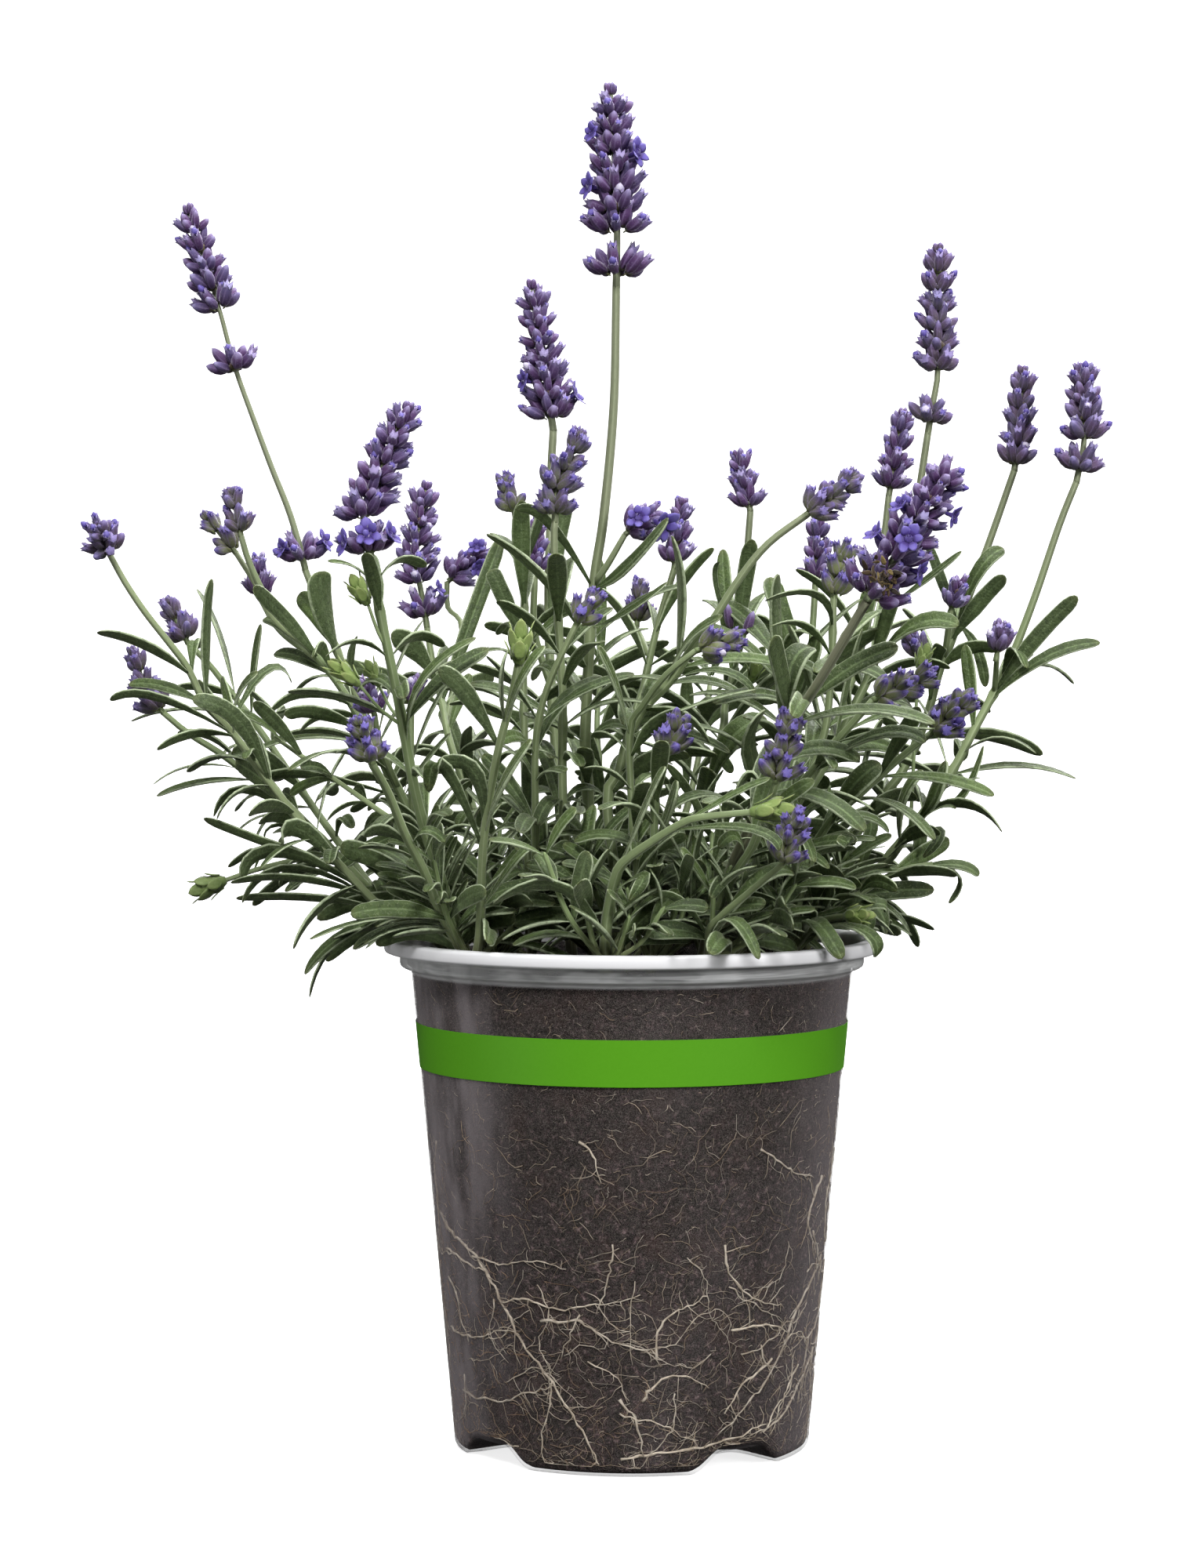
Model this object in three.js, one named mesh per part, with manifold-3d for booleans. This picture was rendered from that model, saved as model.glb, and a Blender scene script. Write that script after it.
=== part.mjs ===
import * as THREE from 'three';
import { mergeVertices } from 'three/addons/utils/BufferGeometryUtils.js';
import Module from 'manifold-3d';

const wasm = await Module();
wasm.setup();

// Driving dimensions, in millimetres. +Z is up, the origin is at the middle of the pot's underside.
const pot = {
  height: 117.5,
  rimRadius: 57.2,
  rimThick: 3,
  collarRadius: 53.6,
  shoulderHeight: 110,
  shoulderRadius: 50.9,
  footRadius: 41.1,
  footRound: 1.8,
  wall: 1,
  sides: 32,
};
const notch = { height: 4.7, halfFoot: 12.7, halfTop: 6, inner: 24, first: 37, count: 4 };
const drain = { radius: 4, away: 33, sides: 8 };
const fitGap = 0.35;
const soil = { top: 110, mound: 1.2, sides: 28, sunk: 7, inset: 0.75, bareStem: 1.5 };
const root = { proud: 0.3, halfWide: 0.9, sunk: 1.2 };

const leafShape = { keel: 0.95, rootShare: 0.2, widest: 0.62, rootOut: 0.4 };
const bract = { gap: 0.3, sunk: 1.5, bentGap: 1.2 };
// corners: cups in a whorl, by share of the spike's reach. low and high: where a cup's foot starts and
// ends, as shares of its whorl's height. shut: how far the last cups stand out.
const floret = {
  spacing: 5, share: 0.95, corners: [4, 7], thinnest: 0.7,
  coreShare: 0.4, coreShut: 0.55, coreIn: 1.5, low: 0.12, high: 0.84, narrowing: 0.9,
  lastOpen: 0.38, shut: 0.3, varies: 0.24, lift: 1.15, openLift: 0.45, liftVaries: 0.8,
};
// The leaves of a pair: open is the angle to the stem in radians, and age runs from 0 at the top pair
// to 1 at the lowest.
const pairRule = {
  step: 27, tries: 3, tryTurn: 0.35,
  open: 0.62, openWithAge: 0.45, openVaries: 0.25,
  shortest: 0.72, lengthVaries: 0.4, narrowest: 0.8, widthVaries: 0.35,
  droop: 0.25, droopWithAge: 0.75, droopVaries: 0.25, spinVaries: 0.5, rollVaries: 70,
};
const shortStations = [0, 0.5];
const longStations = [0, 0.35, 0.7];
// What is in place is kept as rows of balls, step apart, and a leaf keeps clear of the others' balls.
const clear = {
  step: 2.5, stem: 0.35, spike: 0.5, leaf: 0.35, inRim: 3, aroundRim: 0.5, overRim: 0.3,
  ownShare: 0.8, rootedBalls: 3, shares: [0.16, 0.28, 0.4, 0.52, 0.64, 0.76, 0.88, 1],
};
// A leaf set by hand that would meet another is moved in depth by the first of these that is clear.
const handShifts = [0, -4, 4, -8, 8, -12, 12, -16, 16];
const middleShift = 0.6;

// Where the eye stands that the places below are given for: they lie on the plane of the pot's axis
// as it sees them, and the third number is the depth behind that plane.
const eye = { across: -8.5, height: 187, away: 950 };
// Above the rim the plant opens to the front and back too, as far as this adds to those depths.
const spread = { from: 120, over: 60, more: 0.4 };

// A clump is what rises from one hole in the soil: stems, their side shoots and leaves.
// rise: the stem's points after its foot. from: [stem it leaves, height there].
// leafy: [lowest, highest] pair. leaf: [length, width]. head: points to the tip of the flower spike,
// spike: its length, lone: whorls below it, reach: its half width. bud: the same, kept on the stem.
// leaves: [stem, height, middle, tip, width, roll in degrees], each seen in its own place.
const clumps = [
  {
    name: 'centre_tall',
    foot: [-9, 4],
    stems: [
      {
        rise: [[-10, 147.5, 2], [-10.7, 160, 1], [-10.5, 171, 0], [-8.9, 198, 0], [-6.5, 214.5, 0],
          [-4.2, 240, 0], [-3.6, 267.5, 0]],
        thick: [1.5, 0.9], leafy: [119, 186], leaf: [32, 5], seed: 11,
        head: [[-3.4, 280, 0], [-4.9, 314.2, 0]], spike: 34.5, lone: [3.5], reach: 7.6,
      },
      {
        from: [0, 199], rise: [[-5.6, 203.6, -2], [-1.6, 210.5, -3]], thick: [0.9, 0.7], seed: 12,
        head: [[5.2, 216, -3]], spike: 8.7, lone: [], reach: 4.4,
      },
      {
        from: [0, 115], rise: [[-14, 125, -4], [-15.9, 150, -9], [-15.9, 171, -10], [-16.3, 180, -10],
          [-17.9, 207.2, -10], [-17.7, 213.6, -10]],
        thick: [1.2, 0.8], leafy: [122, 190], leaf: [28, 4.5], seed: 13,
        head: [[-17.7, 220.8, -10], [-11, 234.8, -10]], spike: 15.5, lone: [2.6], reach: 5,
      },
    ],
    leaves: [
      [0, 198, [-19.2, 213.6, -4], [-26.4, 216.8, -4], 3, 50],
      [0, 198, [-1.1, 203.6, -4], [7.6, 214.8, -7], 4, 60],
      [0, 189, [-0.2, 193.7, -5], [6.7, 200.9, -6], 3, 40],
    ],
  },
  {
    name: 'left_back',
    foot: [-29, 18],
    stems: [
      {
        rise: [[-44.5, 129.4, 14], [-50, 140, 12], [-55.4, 153, 11], [-68, 183.7, 10], [-75.3, 202.4, 10]],
        thick: [1.3, 0.8], leafy: [119, 184], leaf: [30, 4.5], seed: 21,
        head: [[-76, 208, 10], [-83.4, 227, 10], [-91, 247.6, 10], [-94.7, 261.5, 10], [-102.4, 286.5, 10]],
        spike: 26, lone: [3, 50], reach: 6.2,
      },
      {
        from: [0, 116], rise: [[-33, 135, 30], [-41.8, 162, 36], [-43.6, 171, 42], [-45.8, 180, 47],
          [-47.2, 189, 50]],
        thick: [1.1, 0.8], leafy: [122, 170], leaf: [30, 4.5], seed: 22,
        head: [[-48.5, 197, 50], [-50, 204.2, 50], [-47.2, 223.2, 50]], spike: 26, lone: [3.5], reach: 5.8,
      },
      {
        from: [1, 166], rise: [[-39.1, 188.2, 57], [-42.4, 193.7, 62], [-42.6, 199.6, 63]],
        thick: [0.8, 0.7], seed: 23, head: [[-33.3, 207.6, 63]], spike: 12.5, lone: [], reach: 4.8,
      },
    ],
    leaves: [
      [0, 184, [-71.5, 194, 4], [-73.5, 201.8, 2], 6.5, 80],
      [1, 171, [-36.9, 191, 44], [-29.1, 210.3, 46], 4.4, 80],
    ],
  },
  {
    name: 'left_front',
    foot: [-37, -18],
    stems: [
      {
        rise: [[-40.4, 119.5, -20], [-43.6, 129.4, -24], [-49.6, 149.3, -27], [-53.6, 171, -28],
          [-58.1, 192.8, -28], [-59.9, 203.3, -28]],
        thick: [1.4, 1], leafy: [122, 192], leaf: [30, 4.5], seed: 31,
        head: [[-62, 215.4, -28], [-50.9, 241.3, -28]], spike: 28, lone: [4], reach: 6.3,
      },
    ],
    leaves: [],
  },
  {
    name: 'front_left',
    foot: [-35, -27],
    stems: [
      {
        rise: [[-40, 115.5, -29], [-44.5, 124, -33], [-48.1, 133, -38], [-52.3, 141.2, -42],
          [-56.3, 151, -46], [-59.9, 157.5, -50]],
        thick: [1.2, 0.9], seed: 41, head: [[-63.5, 168.9, -50]], spike: 11.5, lone: [], reach: 4.6,
      },
      {
        from: [0, 113], rise: [[-35.2, 118, -33], [-34.6, 134.8, -38], [-33.7, 144.4, -40],
          [-31, 160.2, -43], [-28.2, 171, -44], [-26, 182, -45]],
        thick: [1.1, 0.8], seed: 42, bud: [[-25.5, 190, -45]], spike: 7.5, lone: [], reach: 2.6,
      },
    ],
    leaves: [
      [0, 141, [-57.5, 142.5, -42], [-61.7, 140.8, -42], 3, 40],
      [0, 141, [-47.5, 142.5, -43], [-42.4, 140, -44], 3, 40],
      [1, 144, [-36.4, 156.2, -42], [-44.5, 157.5, -40], 3, 40],
      [1, 144, [-30, 152.9, -43], [-23.7, 163.8, -42], 3, 60],
      [1, 126, [-27.5, 135.5, -41], [-24.6, 140.3, -40], 3.6, 60],
    ],
  },
  {
    name: 'front_centre',
    foot: [-6, -42],
    stems: [
      {
        rise: [[-6, 118.6, -45], [-5, 125.8, -46], [-3.8, 131.2, -47], [-2, 134.8, -48], [4.3, 139.4, -50],
          [11.6, 143.9, -52], [16.1, 145.3, -53], [28.8, 146.6, -53]],
        thick: [1.5, 0.9], seed: 51, bud: [[37, 147.5, -52.5]], spike: 8.5, lone: [], reach: 2.6,
      },
    ],
    leaves: [
      [0, 135, [3.4, 149.3, -50], [6.2, 157.5, -50], 4, 60],
      [0, 119.5, [-17, 129.5, -50], [-32.4, 125.4, -52], 3.4, 40],
      [0, 131, [2.6, 132, -52], [-0.6, 125.8, -56], 3.3, 40],
      [0, 145.5, [22.4, 150.5, -53], [30.6, 155.8, -54], 2.7, 40],
      [0, 145, [26, 143.5, -57], [35.1, 141, -60], 3, 40],
    ],
  },
  {
    name: 'front_middle',
    foot: [4, -33],
    stems: [
      {
        rise: [[4.3, 116.7, -35], [5, 136, -33], [5.8, 155.7, -32], [8, 159.6, -30]],
        thick: [1.2, 0.8], leafy: [119, 150], leaf: [26, 4], seed: 61,
        head: [[11.6, 168.9, -30]], spike: 9.6, lone: [], reach: 4.4,
      },
      {
        from: [0, 118], rise: [[1, 135, -28], [-0.5, 163.8, -22], [2.5, 171, -23], [8, 178.3, -25],
          [14.7, 183.7, -25]],
        thick: [1, 0.7], leafy: [124, 165], leaf: [28, 4], seed: 62,
        head: [[26, 187, -25]], spike: 11.5, lone: [], reach: 4,
      },
    ],
    leaves: [[0, 140, [8.6, 147.5, -38], [10.1, 153.9, -39], 5.2, 80]],
  },
  {
    name: 'right_front_low',
    foot: [17, -36],
    stems: [
      {
        rise: [[17.9, 118.6, -44], [20.6, 122.4, -48], [27.9, 128.6, -54], [34.8, 134.4, -60]],
        thick: [1.1, 0.8], seed: 71, head: [[38.7, 147.2, -60]], spike: 13.2, lone: [], reach: 4.5,
      },
      {
        from: [0, 114], rise: [[20, 124, -37], [24.3, 133, -39], [27.9, 138.5, -41], [30.6, 145.7, -44],
          [33.3, 153.3, -47]],
        thick: [1.1, 0.8], leafy: [121, 142], leaf: [26, 4], seed: 72,
        head: [[36.9, 170.1, -47]], spike: 17, lone: [], reach: 5,
      },
    ],
    leaves: [
      [0, 119, [29, 131, -47], [38.7, 134, -45], 5, 50],
      [0, 120, [11.6, 125.9, -46], [4.7, 128.3, -47], 2.4, 40],
      [0, 119.5, [23.5, 121.8, -54], [29.5, 112.4, -62], 3.6, 10],
    ],
  },
  {
    name: 'right_front',
    foot: [20, -22],
    stems: [
      {
        rise: [[22.4, 131, -29], [27.9, 143.9, -32], [32.4, 154.8, -35], [36.9, 166.5, -38],
          [44.2, 178.3, -46], [54.1, 195, -55]],
        thick: [1.4, 1.05], leafy: [121, 168], leaf: [32, 5], seed: 81,
        head: [[73.5, 225.7, -58]], spike: 36, lone: [], reach: 7.6,
      },
      {
        from: [0, 114], rise: [[27.9, 134.8, -24], [35.1, 147.5, -27], [44.2, 159.3, -29],
          [50.5, 166.5, -30], [55.6, 172.3, -30]],
        thick: [1.1, 0.8], leafy: [122, 164], leaf: [30, 4.5], seed: 82,
        head: [[69.9, 178.8, -30]], spike: 15.4, lone: [], reach: 4.6,
      },
    ],
    leaves: [[1, 166, [62.3, 170.4, -27], [69.5, 168.6, -27], 3, 40]],
  },
  {
    name: 'right_low',
    foot: [35, -12],
    stems: [
      {
        rise: [[38, 124, -16], [44.2, 142, -20], [53.2, 151.1, -23], [62.3, 159.3, -25], [69.1, 164.7, -25]],
        thick: [1.2, 0.8], leafy: [121, 156], leaf: [30, 4.5], seed: 91,
        head: [[78.6, 173.8, -25]], spike: 12.8, lone: [], reach: 4.8,
      },
      {
        from: [0, 116], rise: [[46, 122.5, -14], [53.2, 128, -12], [62.3, 133, -11], [69.5, 134.5, -11]],
        thick: [1, 0.6], leafy: [121, 132], leaf: [24, 4], seed: 92,
      },
      {
        from: [0, 113.5], rise: [[41, 119, -22], [45, 121.8, -25], [50.5, 122.6, -29]],
        thick: [1, 0.7], seed: 93, bud: [[55, 122.8, -31]], spike: 4.6, lone: [], reach: 2.2,
      },
    ],
    leaves: [
      [1, 134.3, [75, 134.5, -12], [80.8, 132.5, -13], 3.4, 40],
      [1, 134, [75.6, 132.5, -7], [75.3, 124.5, -5], 3, 30],
      [2, 122, [55.5, 125.5, -27], [60.5, 124.5, -27], 4, 40],
      [2, 119, [42.5, 121.6, -36], [49.2, 112.8, -43], 3, 10],
      [2, 121.5, [54, 119.5, -37], [59.6, 113, -40], 3.6, 10],
    ],
  },
  {
    name: 'far_right',
    foot: [38, 2],
    stems: [
      {
        rise: [[46, 122.2, 2], [56.8, 133, 4], [64.1, 142, 6], [69.5, 149.3, 8], [74.9, 157.5, 9],
          [78.6, 164.7, 10], [82.5, 172, 12], [86.7, 180, 13], [92.7, 195.5, 14], [98.5, 212.7, 15],
          [102.4, 222.6, 15]],
        thick: [1.3, 0.8], leafy: [121, 174], leaf: [30, 4.5], seed: 101,
        head: [[104.3, 232, 15], [103.9, 250.1, 15]], spike: 18, lone: [3.5], reach: 5.4,
      },
      {
        from: [0, 174], rise: [[84.3, 183.4, 6]], thick: [0.7, 0.6], seed: 102,
        bud: [[85.4, 189.7, 5]], spike: 6.3, lone: [], reach: 3,
      },
    ],
    leaves: [
      [0, 172, [94.8, 182.3, 8], [107.5, 187.7, 6], 3.6, 60],
      [0, 149, [76, 150, 4], [81, 162, 4], 3, 50],
    ],
  },
  {
    name: 'right_back',
    foot: [34, 15],
    stems: [
      {
        rise: [[53.2, 143.9, 17], [62.3, 155.7, 19], [67.7, 167.4, 21], [71.3, 180, 22], [75.3, 190, 24],
          [81.8, 207.2, 25], [88.1, 225.3, 25]],
        thick: [1.3, 0.8], leafy: [121, 186], leaf: [30, 4.5], seed: 111,
        head: [[89.1, 233.5, 25], [90, 249.6, 25]], spike: 24, lone: [], reach: 4.6,
      },
      {
        from: [0, 182], rise: [[73.5, 193.1, 17]], thick: [0.8, 0.7], seed: 112,
        bud: [[75.8, 200.4, 15]], spike: 7.4, lone: [], reach: 3.2,
      },
      {
        from: [0, 176], rise: [[66.8, 182, 18]], thick: [0.8, 0.7], seed: 113,
        bud: [[64, 188, 17]], spike: 6.4, lone: [], reach: 3,
      },
    ],
    leaves: [
      [0, 190, [71.3, 200, 18], [68, 208.5, 16], 2.8, 50],
      [0, 190, [79.5, 202, 19], [85.8, 209, 19], 4.4, 80],
      [0, 190, [79.5, 184.5, 21], [81.8, 175.5, 20], 2.8, 50],
    ],
  },
  {
    name: 'right_tall',
    foot: [16, -3],
    stems: [
      {
        rise: [[20.6, 125.8, -1], [33.3, 142, 2], [40.5, 151.1, 4], [46, 160.2, 6], [52.3, 172.9, 7],
          [55.4, 179.7, 8], [59.5, 194.6, 9], [65, 214.5, 10], [68.2, 234, 10]],
        thick: [1.4, 0.8], leafy: [121, 180], leaf: [34, 5], seed: 121,
        head: [[69.6, 243, 10], [70.4, 246.7, 10], [70.4, 277.8, 10]], spike: 30, lone: [3.5], reach: 5.4,
      },
      {
        from: [0, 122], rise: [[36.9, 145.7, -8], [44.2, 163.8, -7], [46, 180, -6], [46.5, 196, -5]],
        thick: [1.1, 0.8], leafy: [128, 188], leaf: [30, 4.5], seed: 122,
        head: [[49.6, 208.7, -5]], spike: 12.8, lone: [], reach: 4.2,
      },
    ],
    leaves: [
      [0, 180, [65, 190, 2], [75.3, 191, -2], 4, 50],
      [0, 194, [68.7, 201, 4], [75.8, 206.9, 1], 3, 50],
      [1, 189, [42.3, 197, -12], [30.2, 196.4, -14], 2.8, 30],
    ],
  },
  {
    name: 'back_right',
    foot: [26, 26],
    stems: [
      {
        rise: [[40.5, 149.3, 34], [48.7, 171, 40], [54.1, 189, 45], [57.7, 207.2, 49], [59.2, 219.5, 50]],
        thick: [1.2, 0.8], leafy: [120, 178], leaf: [30, 4.5], seed: 131,
        head: [[62.6, 239.8, 50]], spike: 20.5, lone: [], reach: 4.8,
      },
      {
        from: [0, 120], rise: [[36, 155, 41], [40.5, 174.7, 46], [41.7, 189, 50], [42.3, 199, 52]],
        thick: [1, 0.8], leafy: [128, 178], leaf: [28, 4.5], seed: 132,
        head: [[43.2, 215.4, 52]], spike: 16.5, lone: [], reach: 4.6,
      },
    ],
    leaves: [],
  },
  {
    name: 'centre_front',
    foot: [-1, -14],
    stems: [
      {
        rise: [[-5.6, 147.5, -10], [-2.9, 155.7, -9], [-1.1, 162.9, -8], [2.5, 170, -8], [8.9, 176.8, -8],
          [13.4, 183.7, -9], [18.8, 191, -10], [25.2, 200.9, -10], [31.5, 208.5, -10], [40.2, 215, -10]],
        thick: [1.4, 0.8], leafy: [119, 180], leaf: [32, 5], seed: 141,
        head: [[52.9, 224.8, -10]], spike: 15.8, lone: [], reach: 4.6,
      },
    ],
    leaves: [
      [0, 177, [20.6, 179.6, -13], [29.7, 175, -15], 2.8, 30],
      [0, 165, [12, 165, -12], [23.3, 161, -13], 3.2, 40],
    ],
  },
  {
    name: 'back_centre',
    foot: [8, 16],
    stems: [
      {
        rise: [[20, 160.2, 24], [21.5, 171, 28], [23.3, 178.3, 31], [25.7, 196.4, 35], [27.3, 215.9, 35]],
        thick: [1.2, 0.8], leafy: [120, 182], leaf: [32, 5], seed: 151,
        head: [[24.3, 230.2, 35]], spike: 14.5, lone: [], reach: 4.2,
      },
      {
        from: [0, 122], rise: [[3, 145, 22], [0.7, 167.4, 28], [2.5, 174.7, 31], [5.8, 189, 34],
          [9.8, 202.7, 35]],
        thick: [1.1, 0.8], leafy: [128, 180], leaf: [30, 4.5], seed: 152,
        head: [[10.1, 206.3, 35], [12.1, 219.4, 35]], spike: 16.6, lone: [], reach: 4.2,
      },
      {
        from: [1, 182], rise: [[1.1, 189, 41]], thick: [0.8, 0.7], seed: 153,
        head: [[2.1, 200.9, 43]], spike: 11.6, lone: [], reach: 3.6,
      },
    ],
    leaves: [],
  },
  {
    name: 'back_left',
    foot: [-14, 26],
    stems: [
      {
        rise: [[-18.3, 171, 34], [-19.2, 196.4, 43], [-18.6, 218, 49], [-18.6, 225.3, 50],
          [-18.1, 234.4, 50]],
        thick: [1.4, 0.95], leafy: [120, 192], leaf: [32, 5], seed: 161,
        head: [[-23.2, 269.3, 50]], spike: 35, lone: [], reach: 6.8,
      },
      {
        from: [0, 174], rise: [[-22.4, 188, 36], [-22.4, 200.9, 35]], thick: [0.9, 0.8], seed: 162,
        head: [[-22.4, 214.2, 34]], spike: 13, lone: [], reach: 4,
      },
    ],
    leaves: [],
  },
  {
    name: 'left_centre',
    foot: [-23, -4],
    stems: [
      {
        rise: [[-24.5, 150, 3], [-25, 178.3, 8], [-24.6, 189, 9], [-25.3, 203.6, 11], [-27, 215.4, 11]],
        thick: [1.2, 0.7], leafy: [120, 194], leaf: [28, 4.5], seed: 171,
        head: [[-30, 224.4, 11]], spike: 9.2, lone: [], reach: 3.6,
      },
      {
        from: [0, 114], rise: [[-22.3, 140, -14], [-22.3, 160.2, -18], [-21, 170.1, -20],
          [-18.3, 178.3, -21], [-12.9, 189.7, -21]],
        thick: [1, 0.7], leafy: [122, 168], leaf: [28, 4], seed: 172,
        head: [[-7.4, 197.3, -21]], spike: 9.2, lone: [], reach: 3.6,
      },
    ],
    leaves: [],
  },
  {
    name: 'far_left_front',
    foot: [-38, -8],
    stems: [
      {
        rise: [[-47, 117.8, -11], [-55.5, 122.6, -14], [-60.8, 127, -15], [-68, 134.8, -17],
          [-74.4, 142, -18], [-80.7, 149.3, -18], [-86.2, 156.6, -19], [-92.1, 164.7, -19],
          [-98.5, 171.6, -20], [-102.4, 179.7, -20], [-107, 185.9, -20], [-112.4, 192.8, -20],
          [-116.9, 199.6, -20], [-120.4, 206, -20]],
        thick: [1.2, 0.7], leafy: [124, 172], leaf: [28, 4], seed: 181,
        head: [[-123.3, 213.4, -25]], spike: 9, lone: [], reach: 4.8,
      },
    ],
    leaves: [
      [0, 165, [-109.7, 173.3, -23], [-120.5, 173.2, -23], 3, 40],
      [0, 154, [-91, 168, -26], [-101.2, 172, -28], 4.4, 60],
      [0, 165, [-91.5, 173, -23], [-88.9, 180, -25], 4, 70],
      [0, 166, [-84.3, 179.7, -13], [-76.2, 178.3, -11], 3, 30],
      [0, 135, [-84, 139.5, -21], [-98.5, 146.2, -23], 3.2, 40],
      [0, 128, [-77, 131.5, -20], [-92.9, 132.1, -22], 3.2, 40],
      [0, 125, [-74, 126.8, -14], [-91.6, 126.7, -15], 3.2, 40],
    ],
  },
  {
    name: 'far_left_back',
    foot: [-39, 9],
    stems: [
      {
        rise: [[-48, 118.8, 8], [-56.5, 124.6, 7], [-69.9, 138.5, 5], [-82.5, 151.1, 5], [-88, 154.8, 5],
          [-95.2, 160.2, 5], [-102.4, 164.7, 5], [-108.2, 169.5, 5]],
        thick: [1.2, 0.7], leafy: [124, 154], leaf: [28, 4], seed: 191,
        head: [[-111.9, 174.3, 5], [-115.7, 185, 5]], spike: 16.8, lone: [], reach: 4.4,
      },
      {
        from: [0, 126], rise: [[-73.5, 147.5, 14], [-86, 165.6, 16], [-94.3, 176.5, 16], [-97.9, 181, 16],
          [-102.4, 185.5, 16]],
        thick: [1, 0.7], leafy: [136, 168], leaf: [28, 4.5], seed: 192,
        head: [[-107.9, 196.4, 16]], spike: 12, lone: [], reach: 4.4,
      },
      {
        from: [0, 137], rise: [[-84.3, 133.9, -1], [-95.2, 130.3, -3]], thick: [0.8, 0.6], seed: 193,
        bud: [[-101.9, 128, -3]], spike: 6.6, lone: [], reach: 2.6,
      },
    ],
    leaves: [[2, 133, [-87, 137.5, 1], [-93.5, 134, 2], 3, 30]],
  },
  {
    name: 'left',
    foot: [-31, -4],
    stems: [
      {
        rise: [[-47.2, 138.5, -6], [-55.4, 154.8, -4], [-63.5, 169.2, -1], [-68, 176.5, 0],
          [-75.3, 185.5, 0], [-83.4, 194.6, 0], [-88, 203.6, 0], [-90.1, 210.3, 0]],
        thick: [1.3, 0.7], leafy: [119, 182], leaf: [30, 4.5], seed: 201,
        head: [[-92.5, 221.9, 0]], spike: 11.6, lone: [], reach: 3.8,
      },
      {
        from: [0, 184], rise: [[-82.5, 191, 7], [-86.2, 198.2, 10], [-91.2, 206.2, 12]],
        thick: [0.8, 0.7], seed: 202, head: [[-99.2, 215.9, 12]], spike: 12.3, lone: [], reach: 4,
      },
      {
        from: [0, 181], rise: [[-81, 188, 14], [-85.5, 195.3, 22]], thick: [0.8, 0.7], seed: 203,
        head: [[-86.5, 205.8, 23]], spike: 10.4, lone: [], reach: 3.8,
      },
      {
        from: [0, 152], rise: [[-58.1, 162, -9], [-59.4, 168.9, -11]], thick: [0.8, 0.7], seed: 204,
        head: [[-61.7, 176.5, -12]], spike: 7.8, lone: [], reach: 3.6,
      },
      {
        from: [0, 146], rise: [[-51, 160, -10], [-50.9, 171.6, -9]], thick: [0.8, 0.7], seed: 205,
        bud: [[-49, 176.8, -9]], spike: 5.4, lone: [], reach: 2.8,
      },
      {
        from: [0, 132], rise: [[-50, 142, -12], [-55.4, 144.8, -14], [-64.4, 151.1, -14],
          [-73.5, 157.5, -13], [-82.5, 163.8, -12]],
        thick: [1, 0.5], leafy: [143, 160], leaf: [22, 3.6], seed: 206,
      },
    ],
    leaves: [[0, 150, [-46, 172, -12], [-36.4, 187.7, -14], 3, 50]],
  },
  {
    name: 'broad_right',
    foot: [27, 8],
    stems: [
      {
        rise: [[33, 135, 11], [36, 152.9, 13], [35, 171, 14], [34.5, 180, 14]],
        thick: [1.2, 0.7], leafy: [120, 176], leaf: [34, 6], seed: 211,
      },
    ],
    leaves: [
      [0, 172, [33, 188, 9], [32, 201.5, 7], 6, 80],
      [0, 166, [40, 178, 9], [42.7, 187, 6], 6.4, 80],
      [0, 150, [27, 160, 2], [29.7, 171, 0], 7.2, 80],
    ],
  },
  {
    name: 'back',
    foot: [-4, 38],
    stems: [
      {
        rise: [[-6, 140, 44], [-8, 165, 52], [-7, 180, 57]],
        thick: [1.2, 0.6], leafy: [119, 176], leaf: [30, 4.5], seed: 221,
      },
      {
        from: [0, 116], rise: [[10, 140, 47], [16, 162, 55], [18, 176, 60]],
        thick: [1.1, 0.6], leafy: [124, 172], leaf: [30, 4.5], seed: 222,
      },
      {
        from: [0, 115], rise: [[-20, 132, 48], [-30, 146, 56], [-38, 156, 62]],
        thick: [1.1, 0.6], leafy: [122, 152], leaf: [28, 4.5], seed: 223,
      },
    ],
    leaves: [],
  },
];

// Main roots against the wall, as [angle from the front in degrees, height].
const rootPaths = [
  [[-61, 55], [-48, 42], [-38, 32], [-24, 18], [-9, 3.5]],
  [[-48, 42], [-20, 41]],
  [[-38, 32], [-12, 32], [2, 35]],
  [[-29, 27], [-10, 24], [8, 17]],
  [[28, 45], [44, 32]],
  [[58, 38], [50, 23], [28, 6]],
];

const up = new THREE.Vector3(0, 0, 1);

// A steady draw between 0 and 1, the same on every run.
function drawFrom(seed) {
  let state = seed * 7919 + 17;
  return () => {
    state = (state * 16807) % 2147483647;
    return state / 2147483647;
  };
}

function seen([across, height, depth]) {
  const rise = Math.min(Math.max((height - spread.from) / spread.over, 0), 1);
  const back = depth * (1 + spread.more * rise);
  const grow = (back + eye.away) / eye.away;
  return new THREE.Vector3(
    eye.across + (across - eye.across) * grow, back, eye.height + (height - eye.height) * grow);
}

function toSolid(geometry) {
  const bare = geometry.clone();
  bare.deleteAttribute('normal');
  bare.deleteAttribute('uv');
  const merged = mergeVertices(bare, 1e-4);
  return new wasm.Manifold(new wasm.Mesh({
    numProp: 3,
    vertProperties: new Float32Array(merged.attributes.position.array),
    triVerts: new Uint32Array(merged.index.array),
  }));
}

// The one outer body: a scrap or a sealed pocket that joining leaves is dropped.
function mainBody(solid) {
  const pieces = solid.simplify(0.02).decompose();
  return pieces.reduce((best, piece) => (piece.volume() > best.volume() ? piece : best));
}

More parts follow.
